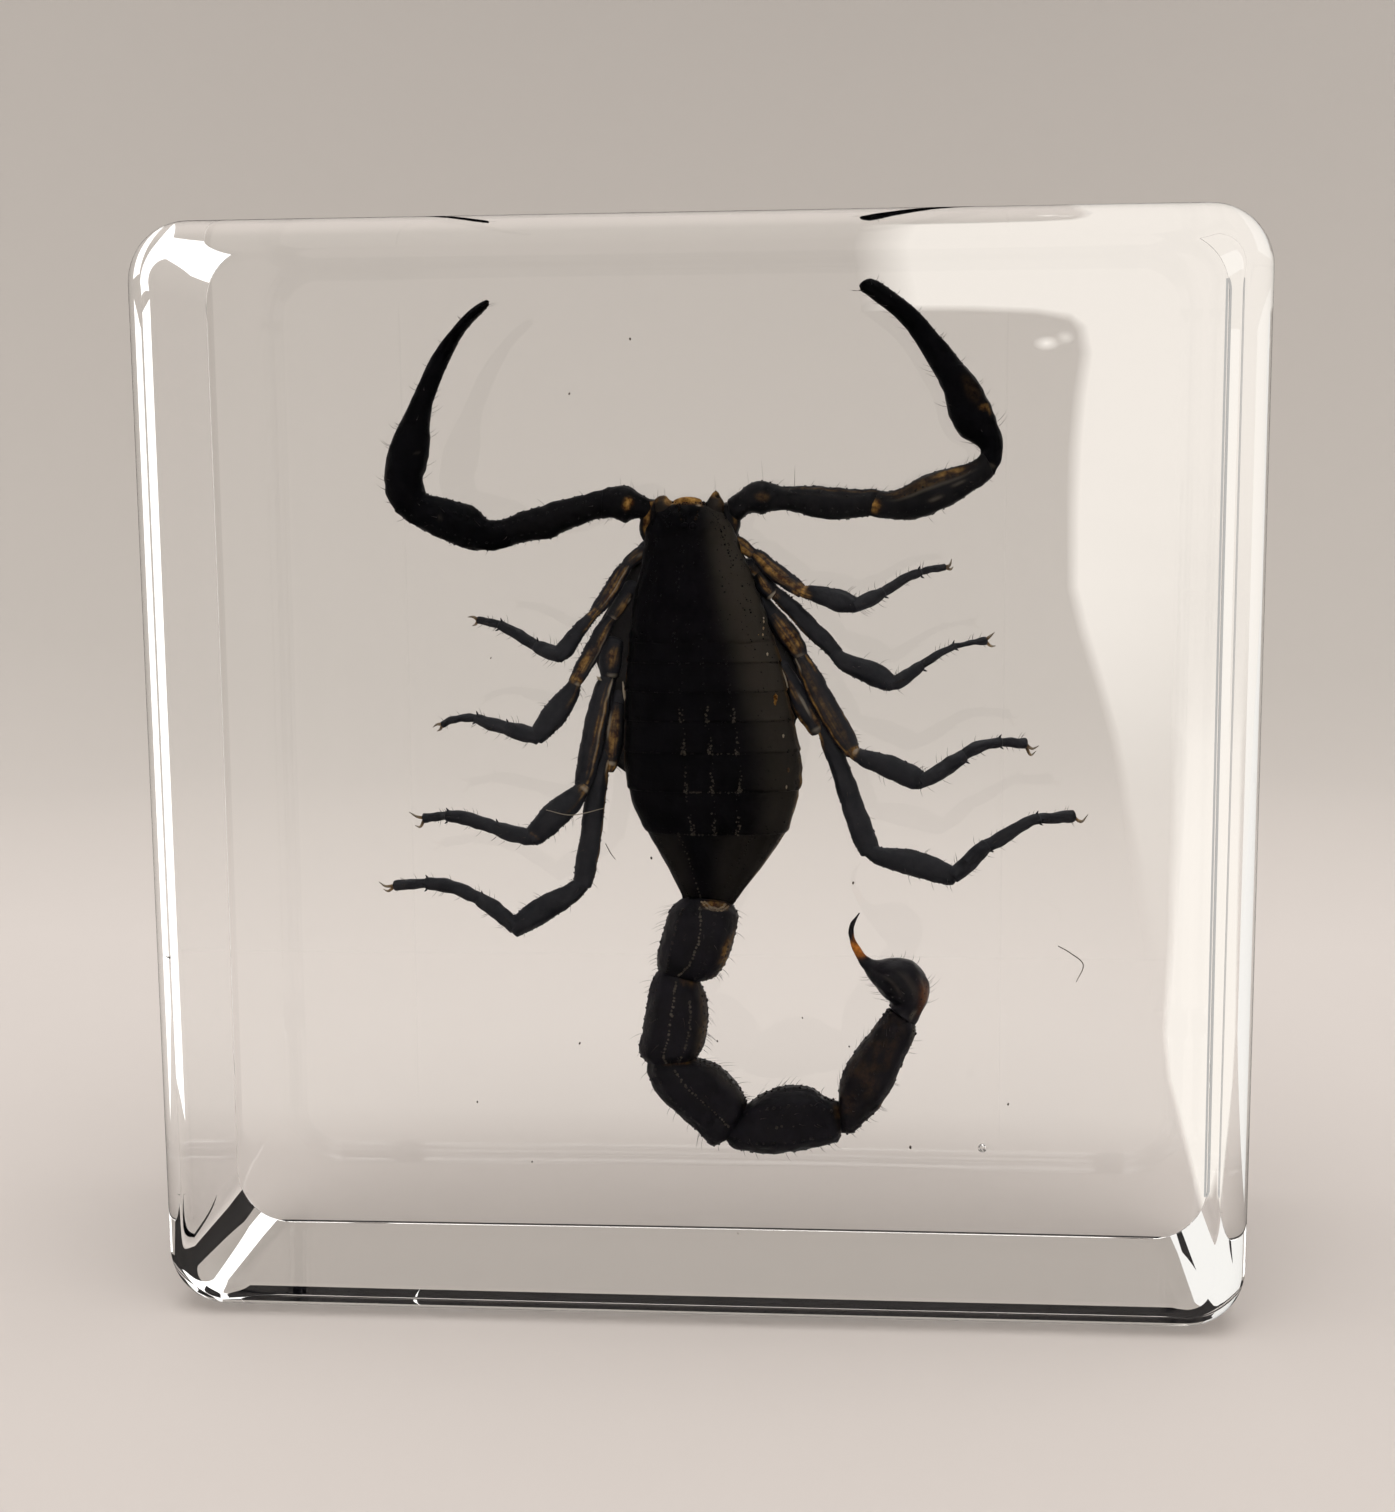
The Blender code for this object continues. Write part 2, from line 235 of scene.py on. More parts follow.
def shell_material(name, dark, worn, gloss=0.25, roughness=(0.34, 0.6), amber=(AMBER_DEEP, AMBER_CLEAR)):
    """Dried shell. Each mesh carries how far it thins to amber, and how pale it is: partly its own pale
    parts, partly painted highlight.
    """
    material, join, shader, add = node_material(name)
    place = add("ShaderNodeTexCoord", "Object")

    def cloud(scale, detail, roughness):
        sockets = {"Vector": place, "Scale": scale, "Detail": detail, "Roughness": roughness}
        return add("ShaderNodeTexNoise", "Fac", sockets)

    def blend(factor, low, high):
        return add("ShaderNodeMixRGB", "Color", {"Fac": factor, "Color1": low, "Color2": high})

    def reading(kind):
        return add("ShaderNodeAttribute", "Fac", attribute_name=kind)

    def spread(value, low, high, to_low=0.0, to_high=1.0):
        sockets = {"Value": value, "From Min": low, "From Max": high, "To Min": to_low, "To Max": to_high}
        return add("ShaderNodeMapRange", "Result", sockets)

    blotches = cloud(BLOTCHES_PER_METRE, 4.0, 0.6)
    veins = cloud(VEINS_PER_METRE, 3.0, 0.7)
    shell = blend(spread(blotches, 0.35, 0.7), dark, worn)
    horn = blend(spread(veins, 0.38, 0.66), *amber)
    uneven = {0: reading("amber"), 1: spread(blotches, 0.3, 0.55, 0.75, 1.0)}
    thin = add("ShaderNodeMath", "Value", uneven, operation="MULTIPLY")
    tinted = blend(thin, shell, horn)
    # Pale marks: partly the shell's own pale parts, partly painted highlights, glints and sheen.
    join(blend(reading("pale_and_glint"), tinted, PALE_AND_GLINT_COLOUR), shader.inputs["Base Color"])
    join(spread(blotches, 0.3, 0.7, *roughness), shader.inputs["Roughness"])
    shader.inputs["Specular IOR Level"].default_value = gloss
    pits = add("ShaderNodeTexVoronoi", "Distance", {"Vector": place, "Scale": PITS_PER_METRE})
    bump = {"Height": pits, "Strength": 0.35, "Distance": PIT_DEPTH}
    join(add("ShaderNodeBump", "Normal", bump), shader.inputs["Normal"])
    return material


def new_form():
    form = bmesh.new()
    form.verts.layers.float.new("amber")
    form.verts.layers.float.new("pale_and_glint")
    return form


def through(stops, steps):
    """A smooth line through stops of any kind of numbers, with this many steps from each to the next."""
    stops = [Vector(stop) for stop in stops]
    ends = [2 * stops[0] - stops[1], *stops, 2 * stops[-1] - stops[-2]]
    line = []
    for before, start, end, after in zip(ends, ends[1:], ends[2:], ends[3:]):
        for step in range(steps):
            t = step / steps
            square = 2 * before - 5 * start + 4 * end - after
            cube = 3 * start - before - 3 * end + after
            line.append((2 * start + (end - before) * t + square * t ** 2 + cube * t ** 3) / 2)
    return line + [stops[-1]]


def edge_ribs(stops, steps, flatness, depth=0.0):
    """Ribs between two edges seen from the front: a stop has x and z of one edge, then of the other."""
    ribs = []
    for start_x, start_z, end_x, end_z in through(stops, steps):
        across = Vector((end_x - start_x, 0.0, end_z - start_z)) / 2
        centre = Vector(((start_x + end_x) / 2, depth, (start_z + end_z) / 2))
        ribs.append((centre, across, Vector((0.0, -across.length * flatness, 0.0))))
    return ribs


def limb_ribs(stops, steps, flatness):
    """Ribs of a limb that runs through places in three dimensions, each with a half width."""
    line = through(stops, steps)
    ribs = []
    for index, (x, y, z, half_width) in enumerate(line):
        along = Vector(line[min(index + 1, len(line) - 1)][:3]) - Vector(line[max(index - 1, 0)][:3])
        across = along.cross(Vector((0.0, 1.0, 0.0))).normalized()
        front = along.cross(across).normalized()
        ribs.append((Vector((x, y, z)), across * half_width, front * half_width * flatness))
    return ribs


def turn_between(angle, degrees):
    """How many degrees an angle is round from a number of degrees, either way."""
    return (angle * 180 / pi - degrees + 180) % 360 - 180


def mark_strength(marks, share, angle):
    """Marks are soft ellipses: share and reach along a segment, degrees and reach round it, strength."""
    total = 0.0
    for middle, reach, degrees, spread_degrees, strength in marks:
        away = ((share - middle) / reach) ** 2 + (turn_between(angle, degrees) / spread_degrees) ** 2
        total = max(total, strength * exp(-away ** 2))
    return min(total, 1.0)


def skin(form, ribs, sides=28, outline=None, domes=(0.4, 0.4), amber=(), pale_and_glint=(), grit=0.0, streaks=0.0):
    """Skins ribs with rings and closes both ends with low domes. Returns a finder of places on the skin.

    With streaks, the amber marks break up into streaks that run along the segment.
    """
    layers = form.verts.layers.float
    outline = outline or (lambda angle, share: 1.0)
    last = len(ribs) - 1
    end_angles = (80, 60, 35, 15)

    def where(share, angle):
        share = min(max(share, 0.0), 1.0)
        near = min(int(share * last), last - 1)
        part = share * last - near
        (centre, across, front), (centre_2, across_2, front_2) = ribs[near], ribs[near + 1]
        out = (across.lerp(across_2, part) * cos(angle) + front.lerp(front_2, part) * sin(angle))
        out *= outline(angle, share)
        return centre.lerp(centre_2, part) + out, out.normalized()

    def end_rib(rib, inner, reach, angle):
        along = (rib[0] - inner[0]).normalized()
        return rib[0] + along * rib[1].length * reach * sin(angle), rib[1] * cos(angle), rib[2] * cos(angle)

    rows = []
    for angle in end_angles:
        rows.append((0.0, *end_rib(ribs[0], ribs[1], domes[0], radians(angle))))
    rows += [(index / last, *rib) for index, rib in enumerate(ribs)]
    for angle in reversed(end_angles):
        rows.append((1.0, *end_rib(ribs[-1], ribs[-2], domes[1], radians(angle))))
    rings = []
    for share, centre, across, front in rows:
        ring = []
        for side in range(sides):
            angle = 2 * pi * side / sides
            factor = outline(angle, share)
            place = centre + (across * cos(angle) + front * sin(angle)) * factor
            if grit:
                place += (place - centre).normalized() * grit * noise.noise(place * 2.6)
            vert = form.verts.new(place)
            round_here = Vector((cos(angle) * streaks, sin(angle) * streaks, centre.x + centre.z))
            streak = min(max(noise.noise(round_here) * 2.4 + 0.75, 0.2), 1.0) if streaks else 1.0
            vert[layers["amber"]] = mark_strength(amber, share, angle) * streak
            vert[layers["pale_and_glint"]] = mark_strength(pale_and_glint, share, angle)
            ring.append(vert)
        rings.append(ring)
    bridge(form, rings)
    form.faces.new(rings[0])
    form.faces.new(rings[-1])
    return where


def bead(form, place, radius, amber=0.0, pale_and_glint=0.0, stretch=None):
    """One granule: a small ball, stretched along a direction where one is given."""
    made = bmesh.ops.create_icosphere(form, subdivisions=1, radius=radius)["verts"]
    for vert in made:
        if stretch:
            vert.co += stretch * vert.co.dot(stretch) / stretch.length
        vert.co += place
        vert[form.verts.layers.float["amber"]] = amber
        vert[form.verts.layers.float["pale_and_glint"]] = pale_and_glint


def bead_row(form, where, spots, count, radius, pale_and_glint=0.0, amber=0.0, sink=0.25):
    """Granules in a row over a skin, through spots that are each a share along it and degrees round it."""
    line = through(spots, 12)
    for step in range(count):
        share, degrees = line[round(step / (count - 1) * (len(line) - 1))]
        share += grain.uniform(-0.3, 0.3) / count
        place, outward = where(share, radians(degrees + grain.uniform(-1.6, 1.6)))
        size = radius * grain.uniform(0.45, 1.2)
        bead(form, place - outward * size * sink, size, amber, pale_and_glint * grain.uniform(0.5, 1.0))


def scatter(form, where, count, shares, degrees, sizes, bares=()):
    """Granules strewn over a skin, between two shares along it and two numbers of degrees round it."""
    for step in range(count):
        place, outward = where(grain.uniform(*shares), radians(grain.uniform(*degrees)))
        size = grain.uniform(*sizes)
        bead(form, place - outward * size * SPECK_SINK, size, pale_and_glint=grain.choice(bares) if bares else 0.0)


def scorpion_thing(name, form, material):
    """A form made in the scorpion's own millimetres, smoothed and put in its place in the block."""
    smooth_outward(form)
    form.transform(Matrix.Translation(at(*SCORPION_PLACE)) @ Matrix.Scale(SCORPION_SCALE * MM, 4))
    return mesh_thing(name, form, material)


def shell_piece(name, form, material):
    piece = finish_piece(scorpion_thing(name, form, material))
    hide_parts("scorpion")


def humps(*places):
    """An outline that swells in soft keels: degrees round, reach in degrees and height of each."""
    def outline(angle, share):
        swell = 0.0
        for middle, reach, height in places:
            swell += height * exp(-(turn_between(angle, middle) / reach) ** 2)
        return 1.0 + swell
    return outline


def boxy(power, keels):
    """A squarer outline than an ellipse, with keels on it."""
    def outline(angle, share):
        square = (abs(cos(angle)) ** power + abs(sin(angle)) ** power) ** (-1 / power)
        return square * keels(angle, share)
    return outline


trunk_shell = shell_material("trunk_shell", SHELL_DARK, SHELL_WORN, gloss=0.05)
carapace = new_form()
carapace_keels = humps(
    (90, 5, -0.05), (80, 3, 0.03), (100, 3, 0.03), (55, 5, 0.03), (125, 5, 0.03), (270, 60, -0.15),
)
carapace_at = skin(
    carapace, edge_ribs(CARAPACE_EDGES, 7, TRUNK_FLATNESS), TRUNK_SIDES, boxy(2.4, carapace_keels),
    domes=(0.35, 0.1), grit=0.10,
    amber=(
        (0.0, 0.09, 90, 75, 0.9), (0.0, 0.09, 150, 40, 0.8), (0.12, 0.1, 160, 22, 0.7),
        (0.1, 0.05, 62, 9, 0.8),
    ),
    # The last pale mark is a painted sheen on the right half.
    pale_and_glint=((0.13, 0.02, 66, 6, 0.7), (0.1, 0.03, 136, 5, 0.3), (0.75, 0.6, 40, 30, PAINTED_TRUNK_SHEEN)),
)
for side in (-1, 1):
    for row, count, radius, pale, browned in (
        (((0.04, 26), (0.2, 18), (0.36, 9)), 16, 0.05, 0.0, 0.05),
        (((0.55, 9), (0.8, 17), (0.98, 20)), 18, 0.045, 0.02, 0.0),
        (((0.3, 40), (0.6, 44), (0.95, 50)), 26, 0.05, 0.0, 0.0),
    ):
        spots = [(share, 90 + degrees * side) for share, degrees in row]
        bead_row(carapace, carapace_at, spots, count, radius, pale_and_glint=pale, amber=browned)
    eye, outward = carapace_at(MAIN_EYE_SHARE, radians(90 + 6 * side))
    bead(carapace, eye - outward * 0.05, MAIN_EYE_RADIUS)
    for index in range(3):
        eye, outward = carapace_at(0.035 + 0.035 * index, radians(90 + (58 + 5 * index) * side))
        bead(carapace, eye, SIDE_EYE_RADIUS)
scatter(carapace, carapace_at, 420, (0.03, 1.0), (20, 160), (0.02, 0.045))
shell_piece("carapace", carapace, trunk_shell)

# The back plates: seven hard plates that overlap like roof tiles, each on its own ring of the trunk.
# Three granular keels run down the first six, the last has two pairs, and the sides are a little browned.
# Keels and ridges of the rear plates have pale granules, a painted highlight; amber and pale spots sit on
# the right flank.
PLATE_FRONTS = (5.05, 4.2, 3.0, 1.8, 0.5, -1.1, -2.9)
TRUNK_END = -6.15
TRUNK_EDGES = (
    (5.2, -3.03, 2.9), (4.2, -3.1, 3.18), (3.0, -3.2, 3.42), (1.8, -3.25, 3.7), (0.5, -3.26, 3.95),
    (-0.4, -3.28, 4.1), (-1.1, -3.15, 3.98), (-2.0, -2.92, 3.8), (-2.9, -2.45, 3.47), (-3.7, -2.0, 3.0),
    (-4.7, -1.42, 2.22), (-5.6, -1.0, 1.55), (-6.15, -0.85, 1.15),
)
PLATE_WIDTHS = ((0.0, 0.975), (0.12, 0.988), (0.4, 0.995), (0.8, 1.0), (0.94, 1.012), (1.0, 1.0))
PLATE_LEAD = 0.2
PLATE_OVERLAP = 0.12
PAINTED_SHEEN_LOSS = 0.008
PLATE_EDGE_AMBER = (
    (0.9, 0.12, 2, 7, 0.5), (0.9, 0.12, 178, 7, 0.3), (0.5, 0.8, 6, 9, 0.12), (0.5, 0.5, 179, 4, 0.2),
)
PLATE_AMBER = {4: ((0.6, 0.4, 6, 6, 0.3),), 5: ((0.3, 0.3, 6, 5, 0.45),), 6: ((0.4, 0.5, 10, 5, 0.3),)}
# Pale lines along the plates' right edges, and faint broad patches that are painted sheen.
PLATE_PALE_AND_SHEEN = {
    4: ((0.5, 0.4, 12, 8, 0.05),),
    5: ((0.2, 0.1, 10, 5, 0.25), (0.6, 0.3, 7, 3, 0.2)),
    6: ((0.5, 0.5, 16, 7, 0.1), (0.4, 0.5, 60, 30, 0.03), (0.4, 0.4, 140, 20, 0.025)),
}
KEELS_FROM_MIDDLE = (-17, 0, 18)
KEEL_FAN = 0.97
RIDGE_FAN = 0.985
# How pale the keels' granules are on each plate: painted highlight.
KEEL_HIGHLIGHT = (0.015, 0.015, 0.015, 0.07, 0.07, 0.07)
FIRST_HIGHLIT_RIDGES = 2
LAST_PLATE_KEELS = ((122, 104, 4, 0.13), (58, 76, -4, 0.04), (150, 128, 6, 0.04), (30, 50, -6, 0.04))
PLATE_RIDGES = {
    3: (((0.95, 90), (0.97, 73)),),
    4: (((0.95, 91), (0.97, 72)), ((0.96, 104), (0.97, 97))),
    5: (((0.95, 118), (0.96, 93)),),
}
FLANK_SPOTS = (
    (0, 2.52, 5.95, 0.035, 0.2, 0.9), (0, 2.52, 5.75, 0.04, 0.7, 0.6), (0, 2.53, 5.5, 0.04, 0.9, 0.4),
    (0, 2.5, 5.26, 0.04, 0.9, 0.5), (0, 2.33, 5.2, 0.04, 0.9, 0.1), (1, 2.66, 4.41, 0.05, 0.5, 0.8),
    (3, 3.03, 2.62, 0.11, 1.0, 0.0), (3, 2.98, 2.45, 0.07, 0.9, 0.0), (4, 3.36, 1.1, 0.05, 0.3, 0.8),
    (5, 3.42, -1.02, 0.05, 0.5, 0.5), (5, 3.5, -0.3, 0.06, 0.6, 0.1),
)


def trunk_edges_at(height):
    """Where the trunk's left and right edges are at a height."""
    line = through(TRUNK_EDGES, 4)
    for (top, left, right), (low, low_left, low_right) in zip(line, line[1:]):
        if height >= low:
            part = min(max((top - height) / (top - low), 0.0), 1.0)
            return left + (low_left - left) * part, right + (low_right - right) * part
    return line[-1][1:]


def plate_ribs(front, rear):
    """Ribs of one ring of the trunk: narrow where it tucks in under the last one, wide at its rear lip."""
    ribs = []
    for share, width in PLATE_WIDTHS:
        height = front + (rear - front) * share
        left, right = trunk_edges_at(height)
        middle, half = (left + right) / 2, (right - left) / 2 * width
        ribs.append((middle - half, height, middle + half, height))
    return edge_ribs(ribs, 3, TRUNK_FLATNESS)


back = new_form()
plates_at = [carapace_at]
for index, (front, rear) in enumerate(zip(PLATE_FRONTS, (*PLATE_FRONTS[1:], TRUNK_END))):
    is_last = index == len(PLATE_FRONTS) - 1
    overlap = 0.0 if is_last else PLATE_OVERLAP
    # Painted sheen on the plate's right half.
    painted_sheen = (0.5, 0.9, 38 - index * 2, 28, max(PAINTED_TRUNK_SHEEN - index * PAINTED_SHEEN_LOSS, 0.0))
    plate_at = skin(
        back, plate_ribs(front + PLATE_LEAD, rear - overlap), TRUNK_SIDES,
        boxy(2.25, humps((90, 3, 0.025), (72, 3, 0.02), (108, 3, 0.02), (2, 4, 0.012), (178, 4, 0.012))),
        domes=(0.05, 0.15 if is_last else 0.03), grit=0.05,
        amber=(*PLATE_EDGE_AMBER, *PLATE_AMBER.get(index, ())),
        pale_and_glint=((0.97, 0.04, 22, 14, 0.05), painted_sheen, *PLATE_PALE_AND_SHEEN.get(index, ())),
    )
    plates_at.append(plate_at)
    if is_last:
        for start, end, bend, pale in LAST_PLATE_KEELS:
            spots = ((0.12, start), (0.45, (start + end) / 2 + bend), (0.85, end))
            bead_row(back, plate_at, spots, 26, 0.05, pale_and_glint=pale)
    else:
        for keel in KEELS_FROM_MIDDLE:
            count = max(4, round((front - rear) * 6))
            spots = ((0.22, 90 - keel * KEEL_FAN), (0.97, 90 - keel))
            bead_row(back, plate_at, spots, count, 0.045, pale_and_glint=KEEL_HIGHLIGHT[index])
            if index >= FIRST_HIGHLIT_RIDGES:
                spots = ((0.5, 90 - keel * RIDGE_FAN), (0.97, 90 - keel))
                bead_row(back, plate_at, spots, 12, 0.055, pale_and_glint=0.15)
        for spots in PLATE_RIDGES.get(index, ()):
            bead_row(back, plate_at, spots, 10, 0.05, pale_and_glint=0.11)
        bead_row(back, plate_at, ((0.93, 20), (0.93, 160)), 64, 0.03, pale_and_glint=0.02)
    scatter(back, plate_at, round(40 * (front - rear)), (0.2, 0.95), (8, 172), (0.018, 0.04))


def place_on(where, x, z):
    """The place on a skin's right front quarter that lies nearest to x and z, and the way out from it."""
    places = [where(share / 60, radians(degrees)) for share in range(61) for degrees in range(2, 91, 2)]
    return min(places, key=lambda place: (place[0].x - x) ** 2 + (place[0].z - z) ** 2)


for plate, x, z, size, amber, pale_and_glint in FLANK_SPOTS:
    place, outward = place_on(plates_at[plate], x, z)
    bead(back, place, size, amber=amber, pale_and_glint=pale_and_glint, stretch=Vector((0.0, 0.0, 0.8)))
shell_piece("back_plates", back, trunk_shell)

# The chelicerae: two short stout jaws under the front margin, each with a fixed and a moving finger.
# They are horn brown where they are thin, and carry a tuft of bristles.
JAW_FLATNESS = 0.9
JAWS = {
    "left_chelicera": ((-1.3, 0.0, 10.0, 0.5), (-1.58, -0.1, 10.45, 0.42), (-1.68, -0.1, 10.72, 0.3)),
    "right_chelicera": ((0.42, 0.0, 10.0, 0.52), (0.55, -0.1, 10.5, 0.4), (0.58, -0.1, 10.95, 0.14)),
}
JAW_FINGERS = (
    ((0.06, -0.12, -0.15, 0.12), (0.05, -0.2, 0.0, 0.07), (0.0, -0.22, 0.12, 0.02)),
    ((-0.06, 0.1, -0.15, 0.12), (-0.05, 0.14, 0.0, 0.07), (-0.02, 0.12, 0.1, 0.02)),
)
jaw_shell = shell_material("jaw_shell", (0.005, 0.0035, 0.003, 1.0), (0.02, 0.012, 0.007, 1.0))


def shifted(stops, place):
    return [(x + place[0], y + place[1], z + place[2], width) for x, y, z, width in stops]


for name, stops in JAWS.items():
    jaw = new_form()
    side_amber, tip_amber = (0.8, 0.1) if name.startswith("left") else (0.15, 0.8)
    skin(jaw, limb_ribs(stops, 6, JAW_FLATNESS), 24, domes=(0.3, 0.5), grit=0.04,
         amber=((0.75, 0.35, 150, 40, side_amber), (1.0, 0.16, 90, 400, tip_amber)))
    for finger in JAW_FINGERS:
        skin(jaw, limb_ribs(shifted(finger, stops[-1]), 4, 0.8), 14, amber=((0.8, 0.4, 90, 200, 0.4),))
    shell_piece(name, jaw, jaw_shell)

# The pedipalps: the two pincer arms, each of trochanter, femur, patella, hand and two long closed fingers.
# Their shell is blue-black, blackest on the pincers, and amber skin shows at some joints and keels.
# A stop gives x and z of one edge, then of the other, or in a coxa x, depth, z and half width.
PALP_FLATNESS = 0.85
PALP_SIDES = 40
PALP_COXAE = {
    "left": (
        (-1.3, 0.3, 9.0, 0.5), (-1.95, 0.15, 9.4, 0.58), (-2.0, 0.1, 10.2, 0.5), (-1.9, 0.0, 10.6, 0.36),
    ),
    "right": (
        (0.4, 0.3, 9.0, 0.45), (0.98, 0.15, 9.4, 0.5), (1.08, 0.1, 10.1, 0.44), (1.0, 0.0, 10.5, 0.3),
    ),
}
LEFT_PALP = {
    "trochanter": (
        (-1.97, 10.59, -2.41, 9.93), (-2.28, 10.82, -2.74, 9.95), (-2.59, 11.01, -2.92, 9.91),
        (-2.9, 11.22, -3.16, 9.79), (-3.26, 11.31, -3.5, 9.93), (-3.66, 11.25, -3.81, 9.99),
        (-4.02, 11.18, -4.08, 9.95),
    ),
    "femur": (
        (-3.79, 11.25, -3.77, 9.99), (-4.56, 11.0, -4.3, 9.93), (-5.37, 10.83, -5.11, 9.65),
        (-6.09, 10.65, -5.75, 9.4), (-6.72, 10.46, -6.24, 9.15), (-7.26, 10.32, -6.92, 9.09),
        (-7.71, 10.16, -7.46, 8.98), (-8.26, 9.94, -8.0, 8.85), (-8.62, 9.93, -8.37, 8.77),
    ),
    "patella": (
        (-8.26, 9.94, -7.82, 8.87), (-8.8, 9.94, -8.64, 8.68), (-9.15, 10.26, -9.36, 8.7),
        (-9.46, 10.5, -9.9, 8.8), (-9.96, 10.66, -10.48, 9.01), (-10.49, 10.82, -11.07, 9.28),
        (-11.03, 10.93, -11.69, 9.61), (-11.37, 11.04, -12.23, 9.91), (-11.62, 11.2, -12.69, 10.31),
    ),
    "hand": (
        (-11.31, 10.89, -12.63, 10.27), (-11.48, 11.33, -13.04, 10.98), (-11.49, 11.69, -13.12, 11.56),
        (-11.3, 12.22, -13.07, 12.1), (-11.2, 12.8, -12.94, 12.72), (-11.17, 13.33, -12.75, 13.25),
        (-11.15, 13.95, -12.42, 13.87), (-11.07, 14.44, -12.15, 14.36),
    ),
    "fixed_finger": (
        (-11.14, 13.95, -12.46, 13.83), (-11.05, 14.57, -12.09, 14.49), (-10.84, 15.15, -11.78, 15.11),
        (-10.53, 15.89, -11.45, 15.77), (-10.16, 16.64, -11.08, 16.47), (-9.74, 17.39, -10.6, 17.15),
        (-9.28, 17.95, -10.07, 17.76), (-8.87, 18.34, -9.54, 18.31), (-8.64, 18.59, -9.05, 18.65),
        (-8.62, 18.75, -8.75, 18.8),
    ),
}
RIGHT_PALP = {
    "trochanter": (
        (1.21, 9.96, 1.08, 10.72), (1.48, 9.83, 1.39, 10.91), (1.74, 9.99, 1.71, 11.17),
        (2.01, 10.15, 1.97, 11.35), (2.41, 10.09, 2.46, 11.47), (2.68, 10.16, 2.9, 11.35),
        (2.99, 10.25, 3.26, 11.24),
    ),
    "femur": (
        (2.76, 10.2, 2.82, 11.35), (3.34, 10.27, 3.44, 11.22), (3.87, 10.14, 3.97, 11.22),
        (4.49, 9.98, 4.58, 11.24), (5.11, 9.89, 5.2, 11.17), (5.82, 9.86, 5.82, 11.13),
        (6.43, 9.95, 6.44, 11.08), (6.83, 10.0, 6.97, 11.09), (7.1, 10.13, 7.23, 11.03),
    ),
    "patella": (
        (6.79, 10.01, 6.92, 11.07), (7.23, 9.92, 7.41, 11.0), (7.85, 9.85, 7.93, 11.05),
        (8.46, 9.84, 8.42, 11.29), (9.08, 9.95, 8.99, 11.61), (9.69, 10.2, 9.65, 11.82),
        (10.39, 10.56, 10.22, 11.94), (11.01, 10.99, 10.74, 12.09), (11.49, 11.3, 11.13, 12.28),
        (11.79, 11.61, 11.31, 12.53),
    ),
    "hand": (
        (11.84, 11.63, 11.25, 12.13), (12.05, 12.13, 11.26, 12.44), (12.18, 12.65, 11.19, 12.72),
        (12.12, 13.13, 10.87, 12.94), (11.94, 13.66, 10.43, 13.19), (11.74, 14.18, 10.08, 13.76),
        (11.52, 14.66, 9.89, 14.37), (11.3, 15.1, 9.73, 14.98), (10.95, 15.58, 9.47, 15.5),
        (10.6, 15.97, 9.25, 15.9),
    ),
    "fixed_finger": (
        (10.95, 15.58, 9.49, 15.49), (10.47, 16.11, 9.16, 16.03), (9.99, 16.72, 8.77, 16.68),
        (9.51, 17.24, 8.42, 17.21), (9.03, 17.81, 7.98, 17.73), (8.51, 18.33, 7.5, 18.17),
        (7.98, 18.74, 7.02, 18.52), (7.5, 19.09, 6.65, 18.81), (7.17, 19.3, 6.47, 18.93),
        (6.91, 19.41, 6.4, 19.09),
    ),
}
MOVING_FINGER_SHARE = 0.86
MOVING_FINGER_DEPTH = 0.42
PALP_AMBER = {
    "left": {
        "trochanter": ((0.46, 0.1, 102, 13, 1.0), (0.5, 0.08, 84, 10, 1.0)),
        "coxa": ((0.7, 0.5, 62, 14, 0.6),),
    },
    "right": {
        "coxa": ((0.75, 0.3, 130, 12, 0.5),), "trochanter": ((0.7, 0.12, 88, 15, 0.16),),
        "patella": (
            (0.05, 0.05, 100, 30, 1.0), (0.5, 0.3, 66, 4.5, 0.8), (0.62, 0.12, 44, 16, 0.55),
            (0.45, 0.35, 44, 20, 0.16),
        ),
        "hand": ((0.6, 0.025, 132, 14, 0.5), (0.56, 0.03, 146, 6, 0.3), (0.76, 0.12, 120, 24, 0.05)),
        "femur": ((0.5, 0.45, 34, 7, 0.16),),
    },
}
# Painted glints on the arms' shell.
PALP_GLINTS = {
    "left": {"hand": ((0.55, 0.02, 122, 7, 0.05),), "patella": ((0.62, 0.02, 90, 8, 0.06),)},
    "right": {
        "patella": ((0.52, 0.05, 106, 6, 0.16), (0.68, 0.05, 88, 5, 0.14), (0.5, 0.3, 72, 2.5, 0.12)),
        "hand": ((0.05, 0.02, 110, 30, 0.12),), "femur": ((0.5, 0.4, 66, 3, 0.05),),
    },
}
PALP_KEELS = (35, 90, 145, 215, 270, 325)
PALP_BEAD_DEGREES = (4, 60, 120, 176, 240, 300)
# The left arm's darker shell copy is painted shade, and so is the pincers' black on the left patella.
arm_shell, arm_shell_painted_shade, pincer_and_shaded_shell = [
    shell_material(name, dark, worn, gloss) for name, dark, worn, gloss in (
        ("arm_shell", (0.0056, 0.006, 0.008, 1.0), (0.0145, 0.014, 0.0165, 1.0), 0.12),
        ("arm_shell_painted_shade", (0.0016, 0.0017, 0.0028, 1.0), (0.0066, 0.0063, 0.0086, 1.0), 0.08),
        ("pincer_and_shaded_shell", (0.0011, 0.0012, 0.0022, 1.0), (0.004, 0.004, 0.0062, 1.0), 0.05),
    )
]


def drawn_in(stops, share):
    """The same edges, drawn in towards their middle line."""
    return [
        ((a + c) / 2 + (a - c) / 2 * share, (b + d) / 2 + (b - d) / 2 * share,
         (a + c) / 2 - (a - c) / 2 * share, (b + d) / 2 - (b - d) / 2 * share)
        for a, b, c, d in stops
    ]


